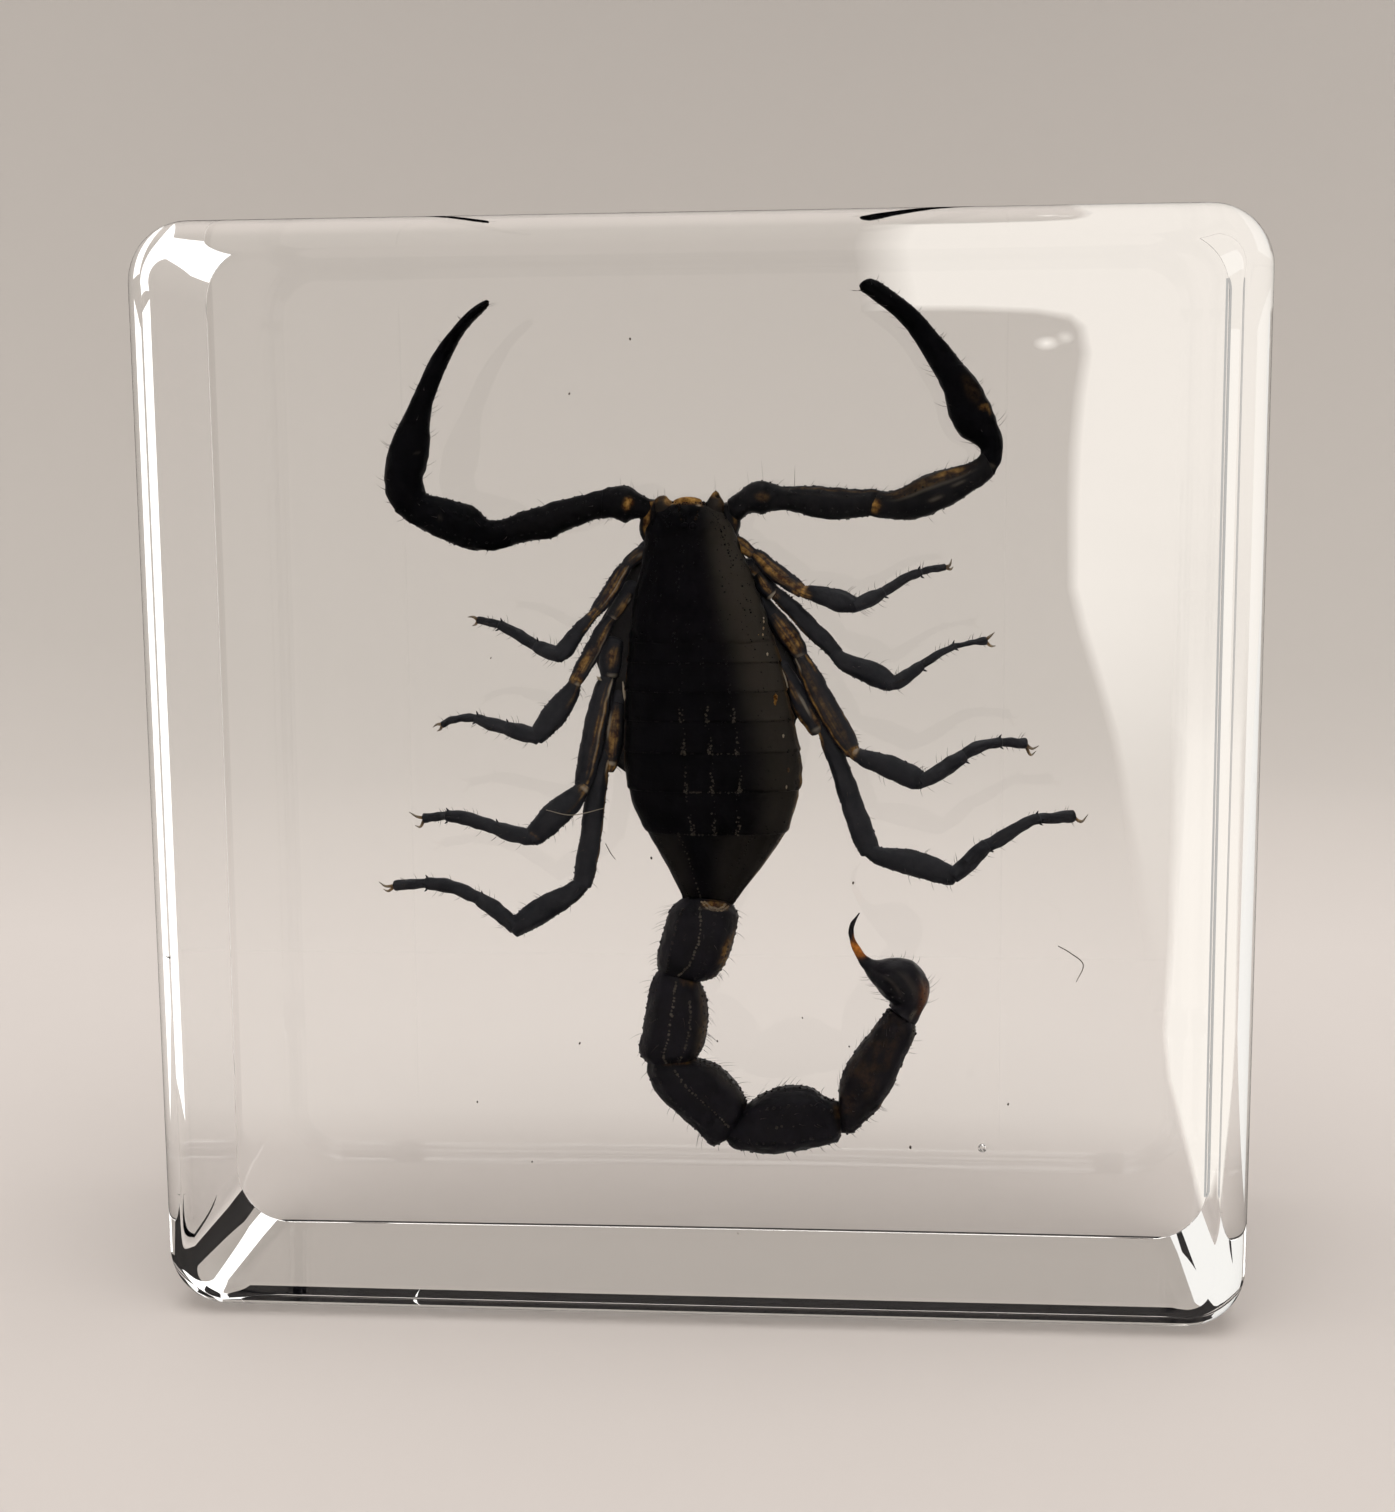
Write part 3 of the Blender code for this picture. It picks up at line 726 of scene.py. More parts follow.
palps_at = {}
for side, palp in (("left", LEFT_PALP), ("right", RIGHT_PALP)):
    ribs_of = {"coxa": limb_ribs(PALP_COXAE[side], 8, PALP_FLATNESS)}
    for segment, stops in palp.items():
        ribs_of[segment] = edge_ribs(stops, 6, PALP_FLATNESS)
    behind = drawn_in(palp["fixed_finger"], MOVING_FINGER_SHARE)
    ribs_of["moving_finger"] = edge_ribs(behind, 6, PALP_FLATNESS, MOVING_FINGER_DEPTH)
    for segment, ribs in ribs_of.items():
        form = new_form()
        is_finger = segment.endswith("finger")
        # The left patella is in the pincers' black as painted shade.
        is_pincer_or_shaded = is_finger or segment == "hand" or (side, segment) == ("left", "patella")
        shell = pincer_and_shaded_shell if is_pincer_or_shaded else arm_shell_painted_shade if side == "left" else arm_shell
        keels = humps(*[(degrees, 12, 0.0 if is_finger else 0.03) for degrees in PALP_KEELS])
        skin_at = skin(
            form, ribs, PALP_SIDES, keels, domes=(0.2, 0.5 if is_finger else 0.2),
            amber=PALP_AMBER[side].get(segment, ()), pale_and_glint=PALP_GLINTS[side].get(segment, ()),
            grit=0.02 if is_finger else 0.05, streaks=3.0 if segment == "patella" else 0.0,
        )
        palps_at[side, segment] = skin_at
        if segment in ("femur", "patella", "trochanter"):
            for degrees in PALP_BEAD_DEGREES:
                spots = ((0.1, degrees), (0.92, degrees))
                bead_row(form, skin_at, spots, 7 if segment == "trochanter" else 20, 0.05, pale_and_glint=0.01)
        if is_finger:
            bead_row(form, skin_at, ((0.1, 178), (0.9, 178)), 34, 0.03)
        shell_piece(f"{side}_palp_{segment}", form, shell)

# The legs: eight walking legs, each of coxa, trochanter, femur, patella, tibia and a tarsus in two parts.
# Their shell is thin and purple-black, and it lets light through as amber near the body and at the joints.
# A stop gives x, z and half width, and in a coxa its depth after x as well.
LEG_SIDES = 30
LEG_FLATNESS = {
    "coxa": 0.62,
    "trochanter": 0.72,
    "femur": 0.62,
    "patella": 0.66,
    "tibia": 0.8,
    "basitarsus": 0.85,
    "telotarsus": 0.9,
}
LEG_DEPTHS = {
    "trochanter": (0.42, 0.3),
    "femur": (0.3, -0.3),
    "patella": (-0.3, -0.78),
    "tibia": (-0.8, -0.35),
    "basitarsus": (-0.35, 0.1),
    "telotarsus": (0.1, 0.66),
}
LEGS = {
    "left_leg_1": {
        "coxa": (
            (-0.75, 1.1, 8.0, 0.35), (-1.5, 1.0, 8.5, 0.42), (-2.2, 0.6, 8.72, 0.36),
            (-2.6, 0.42, 8.5, 0.28),
        ),
        "trochanter": ((-2.4, 8.62, 0.26), (-2.75, 8.4, 0.3), (-3.12, 8.08, 0.25)),
        "femur": (
            (-3.05, 8.15, 0.2), (-3.35, 7.75, 0.28), (-3.8, 7.0, 0.32), (-4.3, 6.3, 0.26),
            (-4.52, 6.0, 0.19),
        ),
        "patella": (
            (-4.45, 6.1, 0.17), (-4.7, 5.8, 0.22), (-5.1, 5.4, 0.29), (-5.6, 4.7, 0.35),
            (-6.0, 4.35, 0.31),
        ),
        "tibia": ((-5.85, 4.35, 0.27), (-6.25, 4.5, 0.33), (-6.6, 4.62, 0.32), (-6.9, 4.75, 0.24)),
        "basitarsus": ((-6.85, 4.72, 0.22), (-7.3, 4.98, 0.24), (-7.9, 5.35, 0.22), (-8.45, 5.6, 0.2)),
        "telotarsus": ((-8.4, 5.58, 0.17), (-8.7, 5.66, 0.18), (-9.0, 5.7, 0.165), (-9.42, 5.78, 0.13)),
    },
    "left_leg_2": {
        "coxa": (
            (-0.8, 1.2, 7.2, 0.4), (-1.8, 1.05, 7.3, 0.45), (-2.8, 0.6, 7.15, 0.4),
            (-3.3, 0.42, 6.7, 0.3),
        ),
        "trochanter": ((-3.1, 6.9, 0.26), (-3.45, 6.4, 0.32), (-3.78, 5.92, 0.26)),
        "femur": (
            (-3.75, 5.95, 0.22), (-4.2, 5.3, 0.31), (-4.6, 4.5, 0.34), (-5.0, 3.8, 0.33),
            (-5.32, 3.22, 0.24),
        ),
        "patella": (
            (-5.25, 3.3, 0.2), (-5.5, 2.8, 0.37), (-6.1, 2.0, 0.51), (-6.6, 1.35, 0.42),
            (-6.92, 0.95, 0.32),
        ),
        "tibia": ((-6.85, 0.95, 0.28), (-7.3, 1.1, 0.35), (-7.8, 1.22, 0.35), (-8.2, 1.33, 0.27)),
        "basitarsus": ((-8.15, 1.32, 0.25), (-8.7, 1.45, 0.29), (-9.2, 1.6, 0.24), (-9.5, 1.7, 0.19)),
        "telotarsus": ((-9.45, 1.7, 0.16), (-10.0, 1.7, 0.17), (-10.6, 1.6, 0.155), (-11.02, 1.4, 0.15)),
    },
    "left_leg_3": {
        "coxa": (
            (-0.75, 1.3, 6.3, 0.4), (-1.9, 1.15, 6.2, 0.5), (-3.0, 0.7, 5.5, 0.45),
            (-3.5, 0.42, 4.7, 0.32),
        ),
        "trochanter": ((-3.6, 4.95, 0.4), (-3.85, 4.2, 0.5), (-3.9, 3.5, 0.4)),
        "femur": (
            (-3.9, 3.6, 0.28), (-4.2, 2.7, 0.39), (-4.5, 1.4, 0.46), (-4.82, -0.1, 0.44),
            (-4.98, -0.85, 0.38), (-5.05, -1.2, 0.28),
        ),
        "patella": (
            (-4.95, -1.1, 0.26), (-5.5, -1.7, 0.45), (-6.2, -2.3, 0.56), (-6.9, -3.0, 0.47),
            (-7.18, -3.32, 0.34),
        ),
        "tibia": ((-7.05, -3.3, 0.28), (-7.5, -3.2, 0.34), (-8.2, -3.05, 0.35), (-8.75, -2.88, 0.29)),
        "basitarsus": (
            (-8.7, -2.9, 0.26), (-9.3, -2.72, 0.31), (-10.0, -2.52, 0.29), (-10.85, -2.42, 0.25),
        ),
        "telotarsus": ((-10.8, -2.43, 0.19), (-11.2, -2.48, 0.19), (-11.88, -2.58, 0.21)),
    },
    "left_leg_4": {
        "coxa": (
            (-0.75, 1.35, 5.5, 0.4), (-1.9, 1.25, 5.0, 0.55), (-3.0, 0.8, 3.8, 0.5),
            (-3.6, 0.45, 2.3, 0.34),
        ),
        "trochanter": (
            (-3.6, 2.3, 0.3), (-3.72, 1.6, 0.42), (-3.82, 0.7, 0.44), (-3.86, 0.0, 0.34),
            (-3.97, -0.5, 0.22),
        ),
        "femur": (
            (-4.1, 0.3, 0.28), (-4.38, -0.5, 0.4), (-4.6, -2.0, 0.43), (-4.8, -3.5, 0.43),
            (-5.0, -4.6, 0.44), (-5.12, -5.3, 0.38),
        ),
        "patella": (
            (-5.1, -5.25, 0.32), (-5.7, -5.7, 0.41), (-6.6, -6.2, 0.51), (-7.4, -6.7, 0.49),
            (-8.05, -7.12, 0.37),
        ),
        "tibia": ((-7.95, -7.05, 0.32), (-8.4, -6.65, 0.35), (-9.0, -6.2, 0.36), (-9.5, -5.92, 0.29)),
        "basitarsus": ((-9.42, -5.95, 0.27), (-10.0, -5.7, 0.3), (-10.8, -5.4, 0.3), (-11.8, -5.3, 0.27)),
        "telotarsus": ((-11.75, -5.3, 0.22), (-12.6, -5.4, 0.23), (-13.2, -5.48, 0.22)),
    },
    "right_leg_1": {
        "coxa": (
            (-0.1, 1.1, 8.0, 0.35), (0.5, 1.0, 8.7, 0.42), (1.0, 0.6, 9.15, 0.36), (1.4, 0.42, 9.1, 0.26),
        ),
        "trochanter": ((1.25, 9.12, 0.22), (1.6, 8.82, 0.29), (2.05, 8.5, 0.25)),
        "femur": (
            (2.05, 8.55, 0.2), (2.4, 8.3, 0.28), (3.0, 7.75, 0.35), (3.65, 7.28, 0.33), (4.1, 6.96, 0.25),
        ),
        "patella": (
            (4.05, 7.0, 0.2), (4.4, 6.9, 0.28), (4.9, 6.8, 0.35), (5.6, 6.6, 0.43), (6.05, 6.47, 0.35),
            (6.32, 6.4, 0.28),
        ),
        "tibia": ((6.2, 6.35, 0.24), (6.6, 6.55, 0.3), (7.0, 6.7, 0.3), (7.35, 6.92, 0.24)),
        "basitarsus": ((7.3, 6.88, 0.2), (7.7, 7.1, 0.22), (8.3, 7.48, 0.19), (8.9, 7.7, 0.17)),
        "telotarsus": ((8.85, 7.69, 0.14), (9.2, 7.8, 0.15), (9.88, 7.9, 0.14)),
    },
    "right_leg_2": {
        "coxa": (
            (0.0, 1.2, 7.2, 0.4), (0.9, 1.05, 7.6, 0.45), (1.9, 0.6, 7.9, 0.42), (2.5, 0.42, 7.5, 0.32),
        ),
        "trochanter": ((2.3, 7.65, 0.28), (2.6, 7.2, 0.36), (2.9, 6.82, 0.3)),
        "femur": (
            (2.9, 6.98, 0.24), (3.3, 6.6, 0.31), (3.7, 6.25, 0.32), (4.4, 5.5, 0.35), (5.1, 4.82, 0.33),
            (5.52, 4.4, 0.26),
        ),
        "patella": (
            (5.4, 4.45, 0.24), (5.7, 4.15, 0.32), (6.2, 3.9, 0.39), (7.0, 3.6, 0.46), (7.5, 3.32, 0.38),
            (7.78, 3.15, 0.3),
        ),
        "tibia": ((7.65, 3.15, 0.26), (8.0, 3.28, 0.29), (8.4, 3.52, 0.29), (8.95, 3.92, 0.21)),
        "basitarsus": ((8.88, 3.88, 0.18), (9.5, 4.3, 0.17), (9.9, 4.52, 0.14), (10.3, 4.7, 0.13)),
        "telotarsus": ((10.25, 4.68, 0.11), (10.9, 4.8, 0.11), (11.2, 4.85, 0.13), (11.55, 4.9, 0.17)),
    },
    "right_leg_3": {
        "coxa": (
            (0.05, 1.3, 6.3, 0.4), (1.1, 1.15, 6.5, 0.5), (2.2, 0.7, 6.5, 0.46), (2.95, 0.42, 5.9, 0.34),
        ),
        "trochanter": ((2.9, 5.95, 0.32), (3.4, 5.3, 0.44), (3.85, 4.65, 0.39), (4.0, 4.3, 0.3)),
        "femur": (
            (4.0, 4.25, 0.3), (4.4, 3.5, 0.42), (4.9, 2.5, 0.46), (5.6, 1.3, 0.46), (6.0, 0.65, 0.38),
            (6.2, 0.3, 0.28),
        ),
        "patella": (
            (6.15, 0.35, 0.24), (6.7, 0.1, 0.34), (7.6, -0.2, 0.45), (8.5, -0.6, 0.46),
            (8.9, -0.76, 0.38), (9.08, -0.86, 0.3),
        ),
        "tibia": ((8.95, -0.82, 0.28), (9.6, -0.5, 0.34), (10.15, -0.12, 0.34), (10.7, 0.2, 0.27)),
        "basitarsus": ((10.62, 0.16, 0.23), (11.1, 0.5, 0.25), (11.7, 0.68, 0.23), (12.2, 0.76, 0.22)),
        "telotarsus": ((12.12, 0.75, 0.17), (12.6, 0.72, 0.19), (13.22, 0.66, 0.24)),
    },
    "right_leg_4": {
        "coxa": (
            (0.1, 1.35, 5.5, 0.4), (1.3, 1.25, 5.2, 0.55), (2.5, 0.8, 4.7, 0.5), (3.3, 0.45, 3.8, 0.34),
        ),
        "trochanter": ((3.25, 3.85, 0.28), (3.75, 2.9, 0.42), (4.3, 1.9, 0.42), (4.72, 1.15, 0.3)),
        "femur": (
            (4.9, 1.4, 0.26), (5.3, 0.5, 0.36), (5.6, -0.2, 0.38), (6.1, -1.7, 0.43), (6.6, -3.1, 0.47),
            (6.88, -3.8, 0.4),
        ),
        "patella": (
            (6.85, -3.72, 0.32), (7.4, -4.0, 0.39), (8.5, -4.2, 0.52), (9.5, -4.5, 0.49),
            (10.05, -4.7, 0.4), (10.35, -4.78, 0.32),
        ),
        "tibia": ((10.3, -4.75, 0.3), (10.7, -4.4, 0.34), (11.2, -3.9, 0.36), (11.65, -3.5, 0.29)),
        "basitarsus": ((11.55, -3.58, 0.27), (12.3, -3.2, 0.29), (13.2, -2.62, 0.25), (13.8, -2.4, 0.23)),
        "telotarsus": ((13.72, -2.4, 0.19), (14.6, -2.4, 0.24), (15.22, -2.36, 0.26)),
    },
}
LEG_AMBER = {
    "left_leg_1": {
        "trochanter": ((0.5, 0.4, 90, 40, 0.35),),
        "femur": ((0.45, 0.36, 72, 24, 0.75), (0.9, 0.12, 80, 50, 0.8), (0.4, 0.3, 120, 16, 0.4)),
        "patella": ((0.06, 0.1, 90, 80, 0.95), (0.3, 0.2, 50, 14, 0.6)),
    },
    "left_leg_2": {
        "trochanter": ((0.5, 0.5, 60, 30, 0.4),),
        "femur": ((0.3, 0.26, 65, 22, 0.7), (0.7, 0.22, 95, 30, 0.7), (0.96, 0.08, 90, 70, 0.9)),
        "patella": ((0.04, 0.05, 90, 60, 0.6), (0.2, 0.2, 55, 10, 0.3)),
    },
    "left_leg_3": {
        "trochanter": ((0.5, 0.3, 80, 26, 0.55),),
        "femur": ((0.42, 0.3, 58, 9, 0.9), (0.45, 0.26, 82, 7, 0.7), (0.85, 0.05, 60, 12, 0.6)),
        "patella": ((0.04, 0.06, 80, 50, 0.7), (0.22, 0.16, 60, 8, 0.6), (0.9, 0.05, 90, 40, 0.35)),
    },
    "left_leg_4": {
        "trochanter": ((0.35, 0.28, 88, 26, 0.95), (0.9, 0.12, 70, 40, 0.95), (0.65, 0.1, 100, 30, 0.6)),
        "femur": ((0.12, 0.12, 30, 18, 0.85), (0.32, 0.14, 12, 6, 0.8), (0.5, 0.5, 10, 9, 0.3)),
    },
    "right_leg_1": {
        "trochanter": ((0.5, 0.55, 90, 60, 0.9),),
        "femur": ((0.45, 0.42, 92, 38, 0.95), (0.93, 0.08, 90, 90, 0.9)),
        "patella": ((0.03, 0.12, 90, 110, 1.0), (0.2, 0.07, 110, 30, 0.7)),
    },
    "right_leg_2": {
        "coxa": ((0.82, 0.16, 95, 26, 0.9),), "trochanter": ((0.5, 0.4, 95, 22, 0.9),),
        "femur": ((0.04, 0.1, 100, 40, 0.5), (0.3, 0.4, 150, 12, 0.22)),
    },
    "right_leg_3": {
        "trochanter": ((0.5, 0.42, 90, 44, 0.95),),
        "femur": (
            (0.5, 0.54, 141, 8, 1.0), (0.45, 0.4, 96, 32, 0.2), (0.1, 0.1, 40, 14, 0.8),
            (0.75, 0.25, 14, 6, 0.7), (0.95, 0.06, 90, 90, 0.95),
        ),
        "patella": ((0.02, 0.06, 90, 90, 0.95),),
    },
    "right_leg_4": {
        "trochanter": ((0.25, 0.25, 100, 16, 0.5), (0.75, 0.25, 150, 16, 0.8), (0.8, 0.16, 60, 16, 0.5)),
        "femur": ((0.06, 0.12, 160, 30, 0.8), (0.4, 0.4, 176, 8, 0.3)),
    },
}
# Pale marks on the legs: pale slits at the joints, and painted glints and highlights along the segments.
LEG_PALE_AND_GLINTS = {
    "left_leg_1": {"trochanter": ((0.3, 0.2, 80, 14, 0.3),), "femur": ((0.35, 0.3, 66, 5, 0.5),)},
    "left_leg_2": {
        "trochanter": ((0.98, 0.04, 60, 40, 0.5), (0.2, 0.1, 40, 10, 0.6)),
        "femur": ((0.45, 0.3, 40, 6, 0.35),), "patella": ((0.06, 0.025, 60, 30, 0.6),),
    },
    "left_leg_3": {
        "trochanter": ((1.0, 0.03, 70, 34, 0.4),),
        "femur": ((0.13, 0.09, 50, 9, 0.9), (0.4, 0.3, 62, 4, 0.5), (0.965, 0.02, 60, 30, 0.7)),
        "patella": ((0.03, 0.03, 70, 40, 0.75),),
    },
    "left_leg_4": {
        "trochanter": ((0.3, 0.15, 120, 9, 0.7), (0.84, 0.03, 90, 50, 0.8)),
        "femur": ((0.13, 0.07, 42, 8, 0.7),),
    },
    "right_leg_1": {},
    "right_leg_2": {"trochanter": ((1.0, 0.05, 90, 60, 0.8),), "coxa": ((0.9, 0.1, 120, 10, 0.6),)},
    "right_leg_3": {
        "trochanter": ((0.98, 0.03, 90, 50, 0.28),), "femur": ((0.06, 0.08, 130, 8, 0.8),),
        "patella": ((0.04, 0.03, 60, 40, 0.6),),
    },
    "right_leg_4": {
        "trochanter": ((0.55, 0.16, 80, 8, 0.5), (0.97, 0.03, 90, 44, 0.42)),
        "basitarsus": ((0.36, 0.015, 90, 60, 0.8),),
    },
}
LEG_WIDE_SIDES = 48
leg_shell = shell_material("leg_shell", (0.011, 0.0125, 0.0185, 1.0), (0.0285, 0.03, 0.037, 1.0))
legs_at = {}
for leg, segments in LEGS.items():
    for segment, stops in segments.items():
        if segment in LEG_DEPTHS:
            start, end = LEG_DEPTHS[segment]
            last = len(stops) - 1
            depths = [start + (end - start) * index / last for index in range(len(stops))]
            stops = [(x, depth, z, width) for depth, (x, z, width) in zip(depths, stops)]
        form = new_form()
        sides = LEG_WIDE_SIDES if segment in ("femur", "trochanter") else LEG_SIDES
        keel = 0.05 if segment in ("femur", "patella") else 0.0
        skin_at = skin(
            form, limb_ribs(stops, 7, LEG_FLATNESS[segment]), sides,
            humps((0, 10, keel), (180, 10, keel), (60, 9, keel * 0.6), (120, 9, keel * 0.6)),
            domes=(0.3, 0.35), grit=0.05, streaks=5.0,
            amber=LEG_AMBER[leg].get(segment, ()), pale_and_glint=LEG_PALE_AND_GLINTS[leg].get(segment, ()),
        )
        legs_at[leg, segment] = skin_at
        if segment in ("femur", "patella"):
            for degrees in (2, 178):
                bead_row(form, skin_at, ((0.08, degrees), (0.94, degrees)), 22, 0.035)
        if segment in ("tibia", "basitarsus"):
            for degrees in (20, 160) if segment == "basitarsus" else (160,):
                place, outward = skin_at(0.98, radians(degrees))
                tip = place + outward * 0.11 + (skin_at(1.0, 0)[0] - skin_at(0.8, 0)[0]).normalized() * 0.09
                spur = ((*place, 0.045), (*((place + tip) / 2), 0.034), (*tip, 0.01))
                skin(form, limb_ribs(spur, 2, 1.0), 8)
        shell_piece(f"{leg}_{segment}", form, leg_shell)

# The claws: two curved hooks at the end of each leg, worn pale and clear like thin horn, dark at the root.
# Each hook is given by x and z of its bend, then of its tip, and the upper hook comes first.
CLAW_TIPS = {
    "left_leg_1": ((-9.6, 5.92, -9.82, 5.92), (-9.55, 5.6, -9.72, 5.52)),
    "left_leg_2": ((-11.22, 1.42, -11.4, 1.3), (-11.15, 1.18, -11.32, 1.08)),
    "left_leg_3": ((-12.2, -2.5, -12.5, -2.3), (-12.1, -2.98, -12.36, -2.95)),
    "left_leg_4": ((-13.6, -5.5, -13.88, -5.3), (-13.55, -5.76, -13.8, -5.7)),
    "right_leg_1": ((10.08, 7.98, 10.16, 8.24), (10.12, 7.8, 10.24, 7.9)),
    "right_leg_2": ((11.75, 5.08, 11.92, 5.24), (11.78, 4.66, 12.0, 4.65)),
    "right_leg_3": ((13.5, 0.45, 13.78, 0.58), (13.46, 0.16, 13.7, 0.3)),
    "right_leg_4": ((15.55, -2.58, 15.82, -2.26), (15.45, -2.56, 15.72, -2.6)),
}
CLAW_DEPTHS = ((0.5, 0.42), (0.95, 1.1))
CLAW_AMBER = ((0.3, 0.3, 90, 400, 0.5),)
CLAW_BARE = ((0.75, 0.45, 90, 400, 0.55),)
claw_horn = shell_material("claw_horn", (0.016, 0.012, 0.01, 1.0), (0.05, 0.035, 0.024, 1.0), gloss=0.4)
for leg, hooks in CLAW_TIPS.items():
    last_at = legs_at[leg, "telotarsus"]
    root = (last_at(1.0, 0.0)[0] + last_at(1.0, pi)[0]) / 2
    form = new_form()
    for (bend_x, bend_z, tip_x, tip_z), (bend_depth, tip_depth) in zip(hooks, CLAW_DEPTHS):
        hook = ((*root, 0.075), (bend_x, bend_depth, bend_z, 0.055), (tip_x, tip_depth, tip_z, 0.012))
        skin(form, limb_ribs(hook, 6, 0.8), 10, amber=CLAW_AMBER, pale_and_glint=CLAW_BARE)
    shell_piece(f"{leg}_claws", form, claw_horn)

# The side skin: the soft dark skin between the back plates, the belly plates and the hips of the legs.
# It fills the trunk's flanks, so that no light shows between the trunk and the legs' first segments.
# Three thin folds in it are pale.
SIDE_SKIN_DEPTH = 0.6
SIDE_SKIN_FLATNESS = 0.12
SIDE_SKIN_EDGES = (
    (-2.4, 9.0, 1.3, 9.0), (-2.85, 8.15, 1.9, 8.15), (-3.5, 7.0, 2.6, 7.0), (-4.1, 6.0, 3.0, 6.0),
    (-4.6, 5.1, 3.3, 5.1), (-4.55, 4.3, 3.8, 4.3), (-4.3, 3.55, 4.0, 3.7), (-4.12, 2.4, 4.3, 2.5),
    (-4.15, 0.8, 3.85, 1.6), (-4.0, 0.0, 3.6, 0.6), (-3.3, -0.6, 3.4, -0.2),
)
SKIN_FOLDS = ((-3.34, 3.24, -3.2, 2.2), (-4.42, 3.46, -4.22, 3.3), (3.2, 3.85, 3.5, 3.0))
soft_skin = shell_material("side_skin", (0.0035, 0.003, 0.004, 1.0), (0.01, 0.008, 0.01, 1.0))
side_skin = new_form()
side_ribs = edge_ribs(SIDE_SKIN_EDGES, 6, SIDE_SKIN_FLATNESS, SIDE_SKIN_DEPTH)
skin(side_skin, side_ribs, 64, domes=(0.1, 0.1), grit=0.06)
for top_x, top_z, low_x, low_z in SKIN_FOLDS:
    middle = ((top_x + low_x) / 2, -0.05, (top_z + low_z) / 2, 0.06)
    fold = ((top_x, 0.0, top_z, 0.02), middle, (low_x, 0.0, low_z, 0.02))
    skin(side_skin, limb_ribs(fold, 5, 1.0), 10, pale_and_glint=((0.5, 1.0, 90, 400, 1.0),))
shell_piece("side_skin", side_skin, soft_skin)

# The belly: six flat plates behind the back plates, the middle four each with a pair of breathing slits.
# They are thinner than the back plates, and horn brown along their rear margins.
BELLY_FRONTS = (5.3, 3.55, 2.1, 0.7, -0.9, -2.75)
BELLY_END = -6.0
BELLY_WIDTH = 0.9
BELLY_SHIFT = 0.14
SLIT_DEGREES = (225, 315)
belly_shell = shell_material("belly_shell", (0.01, 0.007, 0.006, 1.0), (0.034, 0.023, 0.016, 1.0), 0.3)
belly = new_form()
for index, (front, rear) in enumerate(zip(BELLY_FRONTS, (*BELLY_FRONTS[1:], BELLY_END))):
    ribs = []
    for centre, across, depth in plate_ribs(front + 0.15, rear - 0.08):
        ribs.append((centre + Vector((0.0, BELLY_SHIFT, 0.0)), across * BELLY_WIDTH, depth))
    is_last = index == len(BELLY_FRONTS) - 1
    keels = humps((252, 4, 0.02), (288, 4, 0.02)) if is_last else humps((270, 20, -0.02))
    belly_at = skin(
        belly, ribs, TRUNK_SIDES, boxy(2.5, keels), domes=(0.05, 0.1 if is_last else 0.03), grit=0.03,
        amber=((0.95, 0.1, 270, 60, 0.4),),
    )
    if index > 0 and not is_last:
        for degrees in SLIT_DEGREES:
            slit, outward = belly_at(0.55, radians(degrees))
            bead(belly, slit - outward * 0.02, 0.11, pale_and_glint=0.6, amber=0.5, stretch=Vector((1.1, 0.0, 0.35)))
shell_piece("belly_plates", belly, belly_shell)

# The breastbone and the plate behind it: two small flat plates between the hips of the legs.
# They are of the same thin shell as the belly plates.
CHEST_DEPTH = 1.3
CHEST_PLATES = (
    ((-0.4, 0.0, 7.0, 0.32), (-0.38, 0.1, 6.4, 0.44), (-0.33, 0.1, 5.8, 0.4)),
    ((-0.32, 0.1, 5.75, 0.4), (-0.28, 0.15, 5.3, 0.52), (-0.22, 0.12, 4.95, 0.36)),
)
chest = new_form()
for stops in CHEST_PLATES:
    skin(chest, limb_ribs(shifted(stops, (0.0, CHEST_DEPTH, 0.0)), 5, 0.4), 24, grit=0.03)
shell_piece("breastbone", chest, belly_shell)

# The combs: two feelers like gills behind the last legs, each a bent spine with a row of flat blunt teeth.
# Their skin is thin enough for amber to show through.
COMB_TEETH = 22
COMB_TOOTH_AMBER = ((0.7, 0.6, 90, 400, 0.6),)
combs = new_form()
for side in (-1, 1):
    root = Vector((-0.22 + 0.25 * side, CHEST_DEPTH + 0.1, 4.85))
    tip = Vector((-0.1 + 2.5 * side, CHEST_DEPTH - 0.15, 3.1))
    middle = (root + tip) / 2 + Vector((0.35 * side, 0.22, 0.25))
    spine_stops = ((*root, 0.2), (*middle, 0.19), (*tip, 0.08))
    spine_at = skin(combs, limb_ribs(spine_stops, 8, 0.6), 14, amber=((0.5, 0.8, 270, 90, 0.5),))
    for tooth in range(COMB_TEETH):
        share = 0.06 + 0.92 * tooth / (COMB_TEETH - 1)
        start = (spine_at(share, 0)[0] + spine_at(share, pi)[0]) / 2
        reach = Vector((-0.28 * side, 0.05, -0.42)) * (1.15 - 0.5 * share)
        stops = ((*start, 0.05), (*(start + reach * 0.55), 0.055), (*(start + reach), 0.05))
        skin(combs, limb_ribs(stops, 3, 0.55), 8, amber=COMB_TOOTH_AMBER)
shell_piece("combs", combs, belly_shell)
